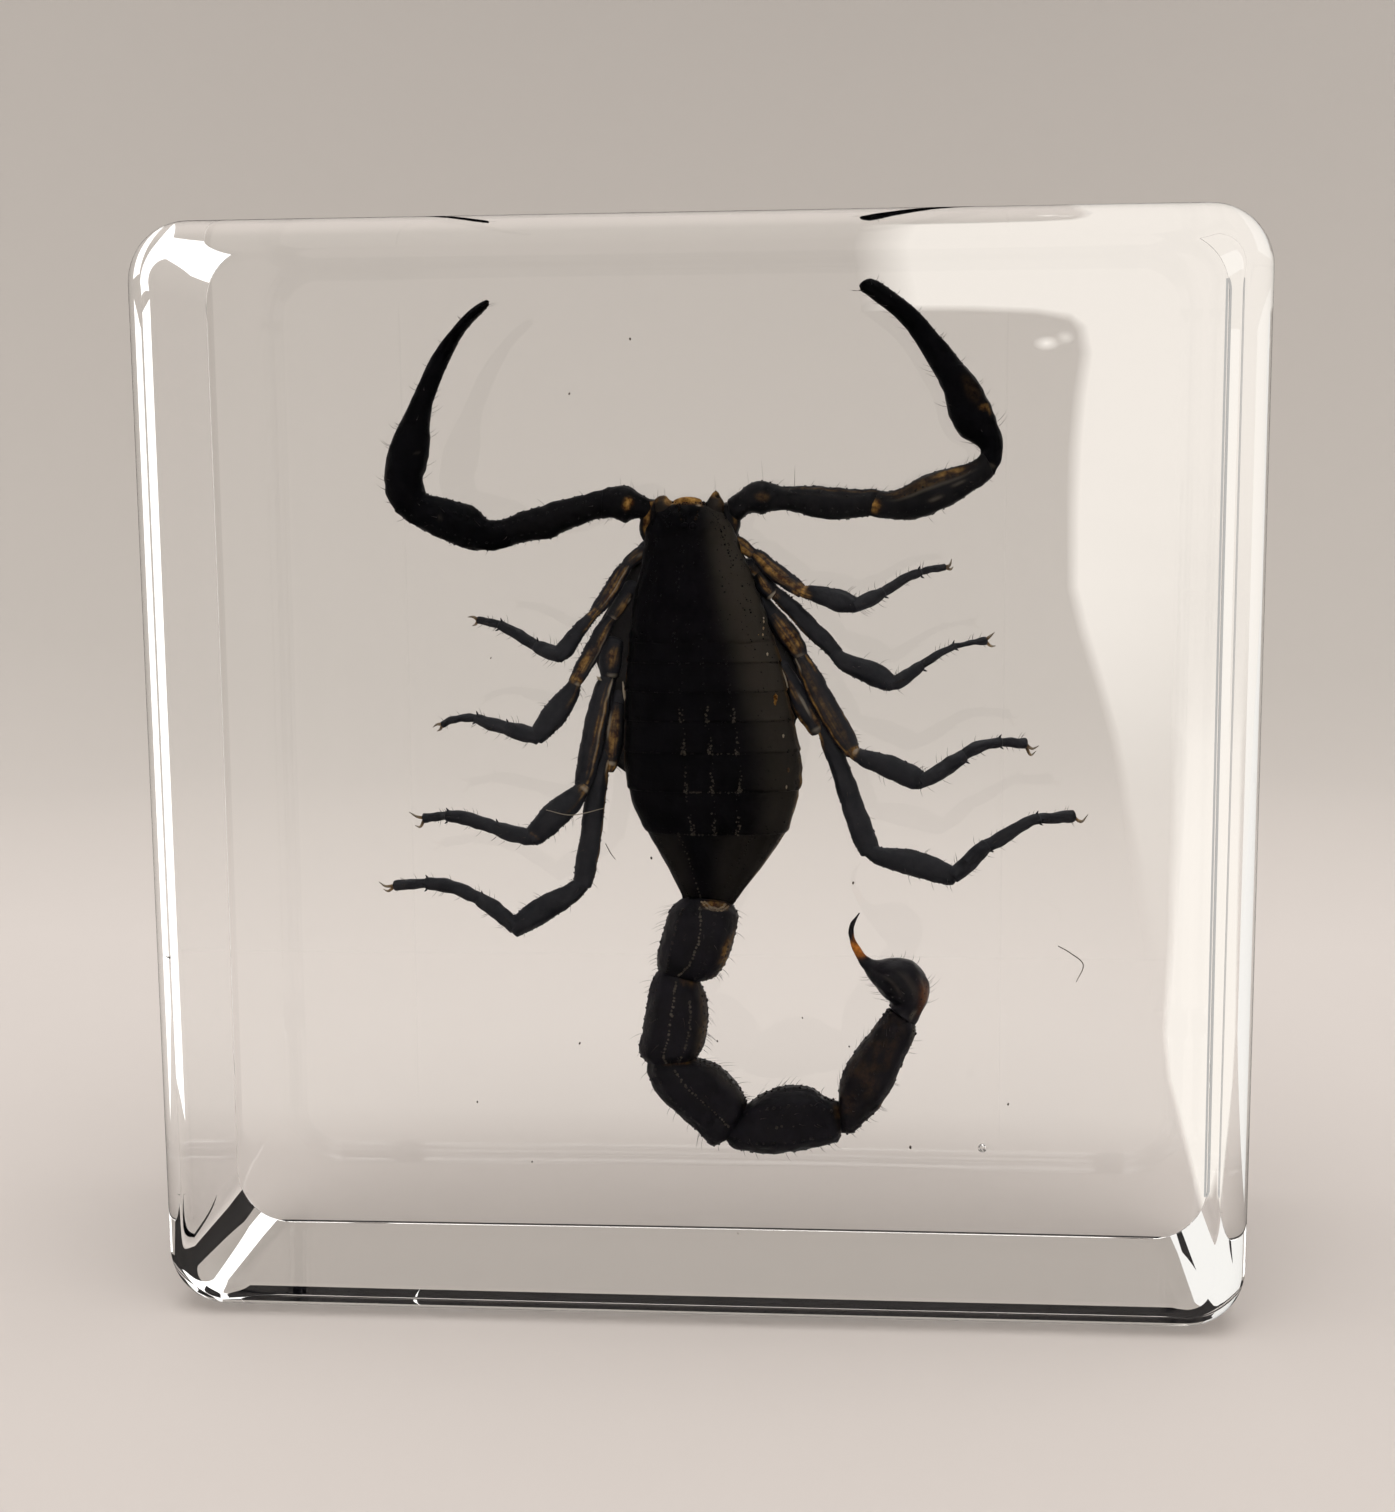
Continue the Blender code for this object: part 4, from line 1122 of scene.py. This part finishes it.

# The tail: five stout rings with eight granular keels, more squared off towards the tip of the tail.
# The keels' granules are pale as painted highlight, and the last ring thins to olive brown along both
# edges.
# A stop gives x and z of a ring's one edge, then of the other.
TAIL_SIDES = 56
TAIL_FLATNESS = 0.9
TAIL_EDGES = {
    "tail_1": (
        (-0.75, -5.75, 1.05, -5.95), (-1.4, -6.32, 1.34, -6.6), (-1.69, -7.22, 1.17, -7.56),
        (-1.93, -8.1, 0.9, -8.42), (-1.97, -8.6, 0.42, -9.12), (-1.92, -8.95, -0.1, -9.38),
    ),
    "tail_2": (
        (-1.9, -8.85, -0.25, -9.4), (-2.22, -9.45, 0.02, -10.15), (-2.42, -10.25, 0.06, -10.99),
        (-2.64, -11.58, -0.04, -11.8), (-2.79, -12.45, -0.24, -12.4), (-2.4, -12.95, -0.5, -12.8),
    ),
    "tail_3": (
        (-2.4, -12.85, -0.5, -12.72), (-2.42, -13.4, 0.0, -12.86), (-1.99, -14.28, 0.45, -13.06),
        (-1.28, -15.0, 1.03, -13.57), (-0.44, -15.76, 1.46, -14.1), (0.24, -16.45, 1.66, -14.55),
        (0.78, -16.3, 1.72, -14.85),
    ),
    "tail_4": (
        (0.76, -16.2, 1.7, -14.75), (1.2, -16.55, 2.2, -14.4), (1.9, -16.7, 2.75, -14.12),
        (2.75, -16.76, 3.32, -13.95), (3.66, -16.66, 3.95, -13.93), (4.6, -16.46, 4.5, -14.04),
        (5.5, -16.24, 5.0, -14.36), (5.72, -15.85, 5.6, -14.5),
    ),
    "tail_5": (
        (5.74, -15.85, 5.6, -14.45), (6.2, -15.82, 5.66, -13.75), (6.75, -15.25, 5.96, -12.95),
        (7.35, -14.6, 6.5, -12.11), (7.94, -13.57, 6.95, -11.55), (8.38, -12.46, 7.3, -11.05),
        (8.78, -11.6, 7.6, -10.6), (8.76, -11.06, 7.8, -10.5),
    ),
}
TAIL_SIDE_KEELS = (12, 168, 192, 348)
TAIL_INNER_KEELS = (55, 125, 235, 305)
TAIL_BEADED_KEELS = (12, 168, 192, 235, 305, 348)
# The third number of each row is how pale its granules are: painted highlight.
TAIL_BEADS = {
    "tail_1": (
        (((0.1, 100), (0.45, 86), (0.92, 98)), 34, 0.28), (((0.15, 128), (0.9, 124)), 26, 0.06),
        (((0.2, 34), (0.6, 28), (0.95, 34)), 26, 0.12), (((0.12, 70), (0.9, 62)), 20, 0.02),
    ),
    "tail_2": (
        (((0.08, 98), (0.5, 99), (0.95, 100)), 38, 0.28), (((0.25, 66), (0.5, 62), (0.9, 66)), 30, 0.2),
        (((0.1, 135), (0.9, 138)), 24, 0.04), (((0.15, 30), (0.9, 28)), 20, 0.05),
    ),
    "tail_3": (
        (((0.15, 92), (0.5, 94), (0.85, 88)), 30, 0.26), (((0.1, 128), (0.9, 130)), 18, 0.04),
        (((0.12, 26), (0.88, 30)), 16, 0.12),
    ),
    "tail_4": (
        (((0.1, 60), (0.9, 58)), 20, 0.05), (((0.1, 122), (0.9, 120)), 20, 0.03),
        (((0.3, 96), (0.7, 92)), 5, 0.12),
    ),
    "tail_5": (
        (((0.08, 45), (0.9, 40)), 26, 0.1), (((0.08, 135), (0.9, 140)), 26, 0.08),
        (((0.2, 90), (0.8, 88)), 12, 0.02),
    ),
}
TAIL_AMBER = {
    "tail_1": ((0.05, 0.05, 66, 30, 0.9), (0.5, 0.12, 34, 10, 0.7), (0.6, 0.3, 20, 8, 0.35)),
    "tail_2": ((0.4, 0.4, 24, 18, 0.22), (0.04, 0.05, 60, 30, 0.2)),
    "tail_3": ((0.03, 0.04, 60, 40, 0.3),),
    "tail_4": ((0.97, 0.04, 90, 60, 0.12),),
    "tail_5": ((0.55, 0.5, 168, 9, 0.3), (0.45, 0.5, 70, 50, 0.06), (0.5, 0.5, 10, 8, 0.14)),
}
TAIL_JOINT_ROWS = (((0.02, 106), (0.125, 72), (0.06, 36)), ((0.01, 98), (0.09, 70), (0.04, 44)))
TAIL_PALE_MARKS = {
    "tail_1": ((0.1, 0.018, 70, 20, 0.4), (0.55, 0.35, 12, 5, 0.16)),
    "tail_2": ((0.5, 0.5, 26, 22, 0.05),),
    "tail_3": ((0.5, 0.5, 24, 20, 0.04),),
    "tail_5": ((0.9, 0.07, 150, 14, 0.16),),
}
tail_shell = shell_material(
    "tail_shell", (0.004, 0.0036, 0.0066, 1.0), (0.0135, 0.0118, 0.018, 1.0), gloss=0.16,
)
side_keels = [(degrees, 7, 0.035) for degrees in TAIL_SIDE_KEELS]
inner_keels = [(degrees, 6, 0.055) for degrees in TAIL_INNER_KEELS]
tail_outline = boxy(2.6, humps(*side_keels, *inner_keels, (90, 16, -0.06)))
tails_at = {}
for segment, stops in TAIL_EDGES.items():
    form = new_form()
    skin_at = skin(
        form, edge_ribs(stops, 8, TAIL_FLATNESS), TAIL_SIDES, tail_outline, domes=(0.06, 0.05),
        grit=0.06, amber=TAIL_AMBER[segment], pale_and_glint=TAIL_PALE_MARKS.get(segment, ()), streaks=3.0,
    )
    tails_at[segment] = skin_at
    for spots, count, pale in TAIL_BEADS[segment]:
        bead_row(form, skin_at, spots, count, 0.065, pale_and_glint=pale)
    if segment == "tail_1":
        for spots in TAIL_JOINT_ROWS:
            bead_row(form, skin_at, spots, 44, 0.05, pale_and_glint=0.5, amber=0.5)
    for degrees in TAIL_BEADED_KEELS:
        bead_row(form, skin_at, ((0.08, degrees), (0.94, degrees)), 24, 0.06, pale_and_glint=0.03)
    scatter(form, skin_at, 60, (0.05, 0.95), (0, 360), (0.02, 0.045), bares=(0.0, 0.0, 0.05))
    shell_piece(segment, form, tail_shell)

# The telson: the poison bulb after the last ring, smooth and blue-black with streaks and a low hump below.
# It narrows to the sting, a curved thorn, amber where it leaves the bulb and black at its point.
# Its edges are given like the tail's.
TELSON_EDGES = (
    (7.71, -10.36, 8.8, -11.15), (7.76, -10.22, 9.21, -10.37), (7.58, -10.05, 9.39, -9.59),
    (7.31, -9.73, 9.1, -8.84), (7.04, -9.4, 8.51, -8.38), (6.8, -9.07, 7.8, -8.32),
    (6.59, -8.76, 7.21, -8.42), (6.39, -8.43, 6.83, -8.29), (6.2, -8.05, 6.59, -8.05),
    (6.07, -7.63, 6.37, -7.65), (6.01, -7.25, 6.24, -7.28), (6.09, -6.86, 6.29, -6.89),
    (6.43, -6.42, 6.47, -6.43),
)
TELSON_AMBER = ((0.68, 0.075, 90, 400, 1.0), (0.75, 0.07, 20, 70, 0.6), (0.13, 0.08, 36, 24, 0.22))
TELSON_BARE = (
    (0.22, 0.12, 70, 5, 0.09), (0.26, 0.1, 104, 4, 0.09), (0.18, 0.07, 40, 5, 0.1),
    (0.04, 0.03, 60, 9, 0.22),
)
telson_shell = shell_material(
    "telson_shell", (0.0045, 0.0043, 0.0078, 1.0), (0.016, 0.014, 0.0205, 1.0), gloss=0.22,
    roughness=(0.25, 0.45), amber=((0.3, 0.075, 0.008, 1.0), (0.8, 0.27, 0.035, 1.0)),
)
telson = new_form()
telson_at = skin(
    telson, edge_ribs(TELSON_EDGES, 7, 0.92), 44,
    humps((180, 20, 0.03), (140, 12, 0.02), (40, 12, 0.02)),
    domes=(0.1, 0.2), grit=0.05, amber=TELSON_AMBER, pale_and_glint=TELSON_BARE,
)
scatter(telson, telson_at, 34, (0.03, 0.4), (0, 360), (0.025, 0.05), bares=(0.0, 0.05))
shell_piece("telson_and_sting", telson, telson_shell)

# The bristles: stiff dark hairs rooted in the shell of the arms, legs and tail, bent to their limb's tip.
# They are sparse and short on the legs, longest on the tail and the pincers' hands.
BRISTLE_RADIUS = 0.014
BRISTLE_ROWS = ((0.0, 0.0, 1.0), (0.35, 0.25, 0.85), (0.7, 0.7, 0.55))
BRISTLE_CORNERS = (0.0, 2.094, 4.189)
BRISTLE_COUNTS = {
    "coxa": (0, 0.2),
    "trochanter": (8, 0.3),
    "femur": (14, 0.3),
    "patella": (16, 0.34),
    "tibia": (14, 0.34),
    "basitarsus": (12, 0.3),
    "telotarsus": (10, 0.26),
    "hand": (26, 0.46),
    "fixed_finger": (20, 0.34),
    "moving_finger": (16, 0.3),
    "tail": (40, 0.5),
    "telson": (34, 0.42),
}
UPRIGHT_HAIRS = (
    (0.58, 11.05, 0.5), (0.5, 10.95, 0.3), (-1.5, 10.85, 0.3), (-1.8, 10.75, 0.32), (-1.95, 10.7, 0.2),
    (1.93, 11.15, 0.6), (2.51, 11.4, 0.75), (3.79, 11.15, 0.75), (-3.3, 11.2, 0.4), (-2.9, 11.15, 0.35),
)


def bristle(form, root, outward, ahead, length):
    """One hair: a thin three-sided spike that leans and then bends towards the limb's tip."""
    side = outward.cross(ahead).normalized()
    rows = []
    for share, lean, thick in BRISTLE_ROWS:
        centre = root + (outward * share + ahead * lean * 0.5) * length
        turned = outward * 0.5 - ahead * 0.5
        rows.append([
            form.verts.new(centre + (side * cos(angle) + turned * sin(angle)) * BRISTLE_RADIUS * thick)
            for angle in BRISTLE_CORNERS
        ])
    tip = form.verts.new(root + (outward * 0.95 + ahead * 0.6) * length)
    bridge(form, rows)
    for index in range(3):
        form.faces.new((rows[-1][index], rows[-1][(index + 1) % 3], tip))
    form.faces.new(rows[0])


hair_horn = shell_material("hair_horn", (0.020, 0.014, 0.012, 1.0), (0.060, 0.042, 0.034, 1.0))
bristles = new_form()
rooted_in = [(segment, where) for (limb, segment), where in (*palps_at.items(), *legs_at.items())]
rooted_in += [("tail", where) for where in tails_at.values()] + [("telson", telson_at)]
for segment, where in rooted_in:
    count, length = BRISTLE_COUNTS[segment]
    for step in range(count):
        share = grain.uniform(0.06, 0.42 if segment == "telson" else 0.96)
        angle = radians(grain.choice((0, 0, 0, 90, 180, 180, 270)) + grain.gauss(0, 22))
        root, outward = where(share, angle)
        further, nearer = where(min(share + 0.03, 1.0), angle)[0], where(max(share - 0.03, 0.0), angle)[0]
        ahead = (further - nearer).normalized()
        bristle(bristles, root - outward * 0.03, outward, ahead, length * grain.uniform(0.5, 1.35))
for x, z, length in UPRIGHT_HAIRS:
    ahead = Vector((grain.uniform(-0.3, 0.3), 0.0, 0.6))
    bristle(bristles, Vector((x, -0.1, z)), Vector((0.0, -0.1, 1.0)), ahead, length)
shell_piece("bristles", bristles, hair_horn)

# Things caught in the cast: dust specks, a stray hair, a thread and a fibre, all fine and out of the way.
# They sit at several depths around the scorpion; one round bubble shows as a bright point in a grey ring.
DUST = (
    (6.19, -5.21, 0.05), (8.63, -16.57, 0.06), (4.09, -10.82, 0.03), (6.04, -12.2, 0.035),
    (0.52, -11.88, 0.035), (-5.31, -12.05, 0.045), (-2.2, -4.11, 0.05), (1.29, -20.6, 0.03),
    (-2.81, 17.15, 0.045), (-5.35, 15.02, 0.04), (-9.83, -14.82, 0.04), (-7.52, -17.44, 0.035),
    (12.7, -14.6, 0.045), (-8.9, 4.2, 0.03),
)
THREADS = {
    "stray_hair": (
        (
            (14.73, 1.2, -7.91, 0.02), (15.23, 1.1, -8.19, 0.022), (15.76, 0.9, -8.65, 0.022),
            (15.48, 0.8, -9.37, 0.014),
        ),
        0.0,
    ),
    "thread": (((-6.5, -1.4, -2.0, 0.016), (-5.4, -1.5, -2.2, 0.02), (-4.1, -1.4, -1.92, 0.016)), 0.55),
    "fibre": (((-4.23, 1.0, -3.67, 0.014), (-4.04, 1.1, -4.07, 0.02), (-3.82, 1.0, -4.35, 0.012)), 0.0),
}
BUBBLE_PLACE = Vector((11.63, 0.0, -16.43))
BUBBLE_RADIUS = 0.19
AIR_IN_RESIN_IOR = 0.645
dust_shell = shell_material("dust_in_resin", (0.1, 0.085, 0.07, 1.0), (0.2, 0.17, 0.14, 1.0))


def caught_piece(name, form, material):
    """A speck has no finish of its own in the record, so it takes no slot."""
    piece = scorpion_thing(name, form, material)
    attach(piece, "root")
    return piece


dust = new_form()
for x, z, size in DUST:
    place = Vector((x, grain.uniform(-1.0, 1.0), z))
    bead(dust, place, size, stretch=Vector((grain.uniform(-0.4, 0.4), 0.0, 0.5)))
caught_piece("dust_specks", dust, dust_shell)
for name, (stops, pale) in THREADS.items():
    strand = new_form()
    skin(strand, limb_ribs(stops, 6, 1.0), 8, pale_and_glint=((0.5, 1.0, 90, 400, pale),))
    caught_piece(name, strand, dust_shell)
bubble = new_form()
bead(bubble, BUBBLE_PLACE, BUBBLE_RADIUS)
bmesh.ops.subdivide_edges(bubble, edges=bubble.edges, cuts=2, use_grid_fill=True)
for vert in bubble.verts:
    vert.co = BUBBLE_PLACE + (vert.co - BUBBLE_PLACE).normalized() * BUBBLE_RADIUS
air, join, shader, add = node_material("air_in_resin")
shader.inputs["Base Color"].default_value = (1.0, 1.0, 1.0, 1.0)
shader.inputs["Roughness"].default_value = 0.0
shader.inputs["IOR"].default_value = AIR_IN_RESIN_IOR
shader.inputs["Transmission Weight"].default_value = 1.0
caught_piece("bubble", bubble, air)

# The floor and the backdrop: one pale paper bowl, flat where the block stands, that curves up all round.
# Its colour is painted light in soft bands: a painted pool of light just behind the block, painted falloff
# towards the top.
FLAT_REACH = 0.16
AIR_UNDER_BLOCK = 0.0001
BOWL_RADIUS = 0.50
BOWL_TOP = 0.62
STAGE_SIDES = 96
STAGE_STEPS = 24
PAINTED_LIGHT_NEAR = -0.10
PAINTED_LIGHT_FAR = 0.50
# Painted light: the paper's colour by distance behind the block.
PAINTED_LIGHT_STOPS = (
    (0.0, (0.65, 0.61, 0.585, 1.0)), (0.17, (0.7, 0.655, 0.63, 1.0)), (0.27, (0.74, 0.695, 0.67, 1.0)),
    (0.36, (0.68, 0.64, 0.612, 1.0)), (0.5, (0.57, 0.54, 0.512, 1.0)), (0.75, (0.5, 0.472, 0.448, 1.0)),
    (0.95, (0.42, 0.4, 0.38, 1.0)),
)


def stage_paper():
    material, join, shader, add = node_material("pale_paper")
    behind = add("ShaderNodeSeparateXYZ", "Y", {"Vector": add("ShaderNodeTexCoord", "Object")})
    rise = {"Value": behind, "From Min": PAINTED_LIGHT_NEAR, "From Max": PAINTED_LIGHT_FAR}
    shade = add("ShaderNodeValToRGB", "Color", {"Fac": add("ShaderNodeMapRange", "Result", rise)})
    stops = shade.node.color_ramp.elements
    for share, colour in PAINTED_LIGHT_STOPS[1:-1]:
        stops.new(share)
    for stop, (share, colour) in zip(stops, PAINTED_LIGHT_STOPS):
        stop.position = share
        stop.color = colour
    stops[-1].position, stops[-1].color = PAINTED_LIGHT_STOPS[-1]
    join(shade, shader.inputs["Base Color"])
    shader.inputs["Roughness"].default_value = 0.9
    shader.inputs["Specular IOR Level"].default_value = 0.1
    return material


def stage_form():
    form = bmesh.new()
    profile = [(0.0, 0.0), (FLAT_REACH * 0.5, 0.0), (FLAT_REACH, 0.0)]
    for step in range(1, STAGE_STEPS + 1):
        angle = pi / 2 * step / STAGE_STEPS
        profile.append((FLAT_REACH + (BOWL_RADIUS - FLAT_REACH) * sin(angle), BOWL_TOP * (1 - cos(angle))))
    centre = form.verts.new((0.0, 0.0, 0.0))
    rings = []
    turns = [2 * pi * side / STAGE_SIDES for side in range(STAGE_SIDES)]
    for reach, height in profile[1:]:
        rings.append([form.verts.new((reach * cos(turn), reach * sin(turn), height)) for turn in turns])
    for side in range(STAGE_SIDES):
        form.faces.new((centre, rings[0][side], rings[0][(side + 1) % STAGE_SIDES]))
    bridge(form, rings[::-1])
    for face in form.faces:
        face.smooth = True
    return form


stage = mesh_thing("paper_bowl", stage_form(), stage_paper())
stage.location.z = -AIR_UNDER_BLOCK
stage.visible_glossy = False

# Soft studio light: an even pale room above, a large overhead panel, and two tall panels behind the block.
# The panels behind aren't seen by the camera, but the block's rounded side rims gather their white light.
world = bpy.data.worlds.new("pale_room")
bpy.context.scene.world = world
world.use_nodes = True
world.cycles_visibility.glossy = False
room = world.node_tree.nodes["Background"]
room.inputs["Color"].default_value = (1.0, 0.985, 0.96, 1.0)
room.inputs["Strength"].default_value = 0.95


def panel(name, place, target, width, height, radiance, colour=(1.0, 0.98, 0.95)):
    """A soft panel of light at a place, turned to its target, unseen by the camera itself."""
    light = bpy.data.lights.new(name, "AREA")
    light.shape = "RECTANGLE"
    light.size = width
    light.size_y = height
    light.energy = radiance * pi * width * height
    light.color = colour
    thing = bpy.data.objects.new(name, light)
    thing.location = place
    thing.rotation_mode = "QUATERNION"
    thing.rotation_quaternion = (Vector(target) - Vector(place)).to_track_quat("-Z", "Y")
    thing.visible_camera = False
    thing.visible_glossy = False
    bpy.context.scene.collection.objects.link(thing)
    return thing


panel("overhead_panel", (0.02, -0.12, 0.55), (0.0, 0.0, 0.02), 0.45, 0.45, 2.2)
right_window = panel("right_window", (0.24, 0.26, 0.10), (0.0, 0.0, 0.03), 0.26, 0.24, 1.9)
left_window = panel("left_window", (-0.28, 0.22, 0.10), (0.0, 0.0, 0.03), 0.16, 0.24, 1.6)
for window in (right_window, left_window):
    window.visible_diffuse = False

# Four thin one-sided cards behind the block, clear from the front, so that only its rounded front rim shows
# them: two glowing ones draw the rim's bright side lines, two dark ones its dark lower line.
# Three narrow strips against the back face draw the thin dark lines of its lower, upper and right edges.
SLATS = {
    "left_slat": (
        1.7, ((-17.2, 24.0, -22.4), (-17.2, 24.0, 21.5), (-22.45, 48.0, 21.5), (-22.45, 48.0, -22.4)),
    ),
    "right_slat": (
        1.0, ((13.3, 12.0, 20.5), (13.3, 12.0, -22.4), (15.34, 45.0, -22.4), (15.34, 45.0, 20.5)),
    ),
    "far_slat": (
        0.0, ((27.0, 29.0, -14.3), (-31.0, 29.0, -14.3), (-42.0, 60.0, -21.5), (36.0, 60.0, -21.5)),
    ),
    "edge_strip": (
        0.0, ((-20.5, 9.01, -22.48), (20.5, 9.01, -22.48), (20.5, 9.22, -22.48), (-20.5, 9.22, -22.48)),
    ),
    "top_strip": (
        0.25, ((-20.5, 9.03, 22.47), (-20.5, 9.03, 22.37), (20.5, 9.03, 22.37), (20.5, 9.03, 22.47)),
    ),
    "side_strip": (
        0.5, ((22.37, 9.03, -20.5), (22.47, 9.03, -20.5), (22.47, 9.03, 20.5), (22.37, 9.03, 20.5)),
    ),
    "near_slat": (
        0.0, ((24.0, 11.0, -21.85), (-24.0, 11.0, -21.85), (-24.0, 12.5, -22.36), (24.0, 12.5, -22.36)),
    ),
}


def seen_through_resin_only(thing):
    """Only light that has passed clear material meets the thing from here on."""
    thing.visible_camera = False
    thing.visible_diffuse = False
    thing.visible_glossy = False
    thing.visible_shadow = False


def mix_surface(material, join, add, share, first, second):
    """Makes a material's surface a mix of two shaders."""
    mix = add("ShaderNodeMixShader", "Shader", {0: share, 1: first, 2: second})
    join(mix, output_of(material).inputs["Surface"])


def slat(name, radiance, corners):
    form = bmesh.new()
    form.faces.new([form.verts.new(at(*corner)) for corner in corners])
    material, join, shader, add = node_material(name)
    shader.inputs["Base Color"].default_value = (0.01, 0.011, 0.02, 1.0)
    shader.inputs["Emission Color"].default_value = (1.0, 0.985, 0.95, 1.0)
    shader.inputs["Emission Strength"].default_value = radiance
    is_back = add("ShaderNodeNewGeometry", "Backfacing")
    clear = add("ShaderNodeBsdfTransparent", "BSDF")
    mix_surface(material, join, add, is_back, shader.outputs["BSDF"], clear)
    thing = mesh_thing(name, form, material)
    seen_through_resin_only(thing)


for slat_name, (slat_radiance, slat_corners) in SLATS.items():
    slat(slat_name, slat_radiance, slat_corners)

# The window's painted reflection: a glowing white card right behind the block, which only light that has
# passed the resin meets.
# It fills the upper right behind a soft edge, with two painted lamp glints, and a faint even painted glow
# covers the back.
# A row gives x and z of the edge and its softness, x and z of the far side, and the glow at both.
CARD_DEPTH = 9.5
PAINTED_GLOW_DEPTH = 9.7
# A painted glow over the back, brightening what is seen through the block.
PAINTED_GLOW = ((22.4, 0.125), (-10.0, 0.13), (-17.0, 0.2), (-19.4, 0.0))
PAINTED_GLOW_SIDES = (-22.4, 22.4)
GLINT_SIDES = 16
WINDOW_SHARE = 0.8
CARD_GLOW = 1.05
WINDOW_ROWS = (
    (6.7, 19.5, 0.16, 6.0, 24.0, 0.0, 0.0), (9.2, 19.46, 0.16, 8.4, 24.0, 1.0, 1.0),
    (11.5, 19.42, 0.16, 11.5, 24.0, 1.0, 1.0), (14.27, 19.27, 0.16, 14.27, 24.0, 1.0, 1.0),
    (15.79, 18.99, 0.2, 16.5, 24.0, 1.0, 1.0), (16.3, 18.5, 0.28, 24.0, 24.0, 1.0, 1.0),
    (16.5, 17.4, 0.32, 24.0, 20.0, 1.0, 1.0), (16.25, 15.6, 0.32, 24.0, 16.0, 1.0, 1.0),
    (16.09, 13.4, 0.32, 24.0, 13.4, 1.0, 1.0), (16.04, 10.5, 0.3, 24.0, 10.5, 1.0, 0.95),
    (16.1, 7.2, 0.28, 24.0, 7.2, 1.0, 0.85), (16.55, 5.4, 0.28, 24.0, 5.4, 0.95, 0.75),
    (17.4, 2.8, 0.26, 24.0, 2.8, 0.8, 0.62), (18.1, 0.4, 0.26, 24.0, 0.4, 0.6, 0.5),
    (18.6, -2.2, 0.28, 24.0, -2.2, 0.4, 0.35), (19.4, -6.5, 0.32, 24.0, -6.5, 0.2, 0.25),
    (20.4, -12.0, 0.36, 24.0, -12.0, 0.0, 0.1),
)
WALL_ROWS = (
    (21.3, 7.0, 0.5, 24.0, 7.0, 0.0, 0.0), (21.0, 2.2, 0.5, 24.0, 2.2, 0.5, 0.6),
    (21.0, 0.0, 0.4, 24.0, 0.0, 0.85, 0.9), (20.9, -4.3, 0.3, 24.0, -4.3, 1.0, 1.0),
    (20.77, -8.6, 0.22, 24.0, -8.6, 1.0, 1.0), (20.55, -13.0, 0.16, 24.0, -13.0, 1.0, 1.0),
    (20.8, -15.2, 0.14, 24.0, -15.2, 1.0, 1.0), (21.4, -17.4, 0.14, 24.0, -17.4, 1.0, 1.0),
    (22.5, -21.8, 0.14, 24.0, -21.8, 1.0, 1.0),
)
# Painted lamp glints: x, z, width, height and glow of each.
PAINTED_LAMP_GLINTS = ((14.8, 17.88, 0.62, 0.34, 0.95), (15.6, 18.12, 0.45, 0.32, 0.5))


def card_form():
    form = bmesh.new()
    glow = form.verts.layers.float.new("glow")

    def corner(x, depth, z, strength):
        vert = form.verts.new(at(x, depth, z))
        vert[glow] = strength
        return vert

    for rows, depth, part in ((WINDOW_ROWS, CARD_DEPTH, WINDOW_SHARE), (WALL_ROWS, CARD_DEPTH + 0.1, 1.0)):
        ribbon = []
        for index, (x, z, soft, far_x, far_z, strength, far_strength) in enumerate(rows):
            before = Vector(rows[max(index - 1, 0)][:2])
            after = Vector(rows[min(index + 1, len(rows) - 1)][:2])
            way = (after - before).normalized()
            ribbon.append((
                corner(x + way.y * soft, depth, z - way.x * soft, 0.0),
                corner(x - way.y * soft, depth, z + way.x * soft, strength * part),
                corner(far_x, depth, far_z, far_strength * part),
            ))
        bridge(form, ribbon, is_closed=False)
    for x, z, wide, high, strength in PAINTED_LAMP_GLINTS:
        middle = corner(x, CARD_DEPTH, z, strength)
        turns = [2 * pi * step / GLINT_SIDES for step in range(GLINT_SIDES)]
        rim = [corner(x + wide * cos(turn), CARD_DEPTH, z + high * sin(turn), 0.0) for turn in turns]
        for step in range(GLINT_SIDES):
            form.faces.new((middle, rim[step], rim[(step + 1) % GLINT_SIDES]))
    glow_rows = [[corner(x, PAINTED_GLOW_DEPTH, z, part) for x in PAINTED_GLOW_SIDES] for z, part in PAINTED_GLOW]
    bridge(form, glow_rows, is_closed=False)
    return form


def card_material():
    material, join, shader, add = node_material("painted_window_reflection")
    glow = add("ShaderNodeAttribute", "Fac", attribute_name="glow")
    card_glow_shader = add("ShaderNodeEmission", "Emission", {"Color": (1.0, 0.94, 0.87, 1.0), "Strength": CARD_GLOW})
    clear = add("ShaderNodeBsdfTransparent", "BSDF")
    mix_surface(material, join, add, glow, clear, card_glow_shader)
    return material


card = mesh_thing("painted_window_card", card_form(), card_material())
seen_through_resin_only(card)

# The camera stands close in front of the block, a little to its right and above, and looks slightly down.
# Its place, its turn and its lens follow from how the block's edges run together.
CAMERA_PLACE = (7.0, -90.9, 12.5)
CAMERA_TURN = 4.68
CAMERA_DIP = 7.8
CAMERA_ROLL = -0.46
camera_lens = bpy.data.cameras.new("camera")
camera_lens.sensor_width = 36.0
camera_lens.lens = 49.71
camera_lens.clip_start = 0.01
camera_lens.clip_end = 10.0
camera = bpy.data.objects.new("camera", camera_lens)
turn = Matrix.Rotation(radians(CAMERA_TURN), 4, "Z") @ Matrix.Rotation(radians(90 - CAMERA_DIP), 4, "X")
roll = Matrix.Rotation(radians(CAMERA_ROLL), 4, "Z")
camera.matrix_world = Matrix.Translation(at(*CAMERA_PLACE)) @ turn @ roll
bpy.context.scene.collection.objects.link(camera)
bpy.context.scene.camera = camera
bpy.context.scene.view_settings.view_transform = "Standard"
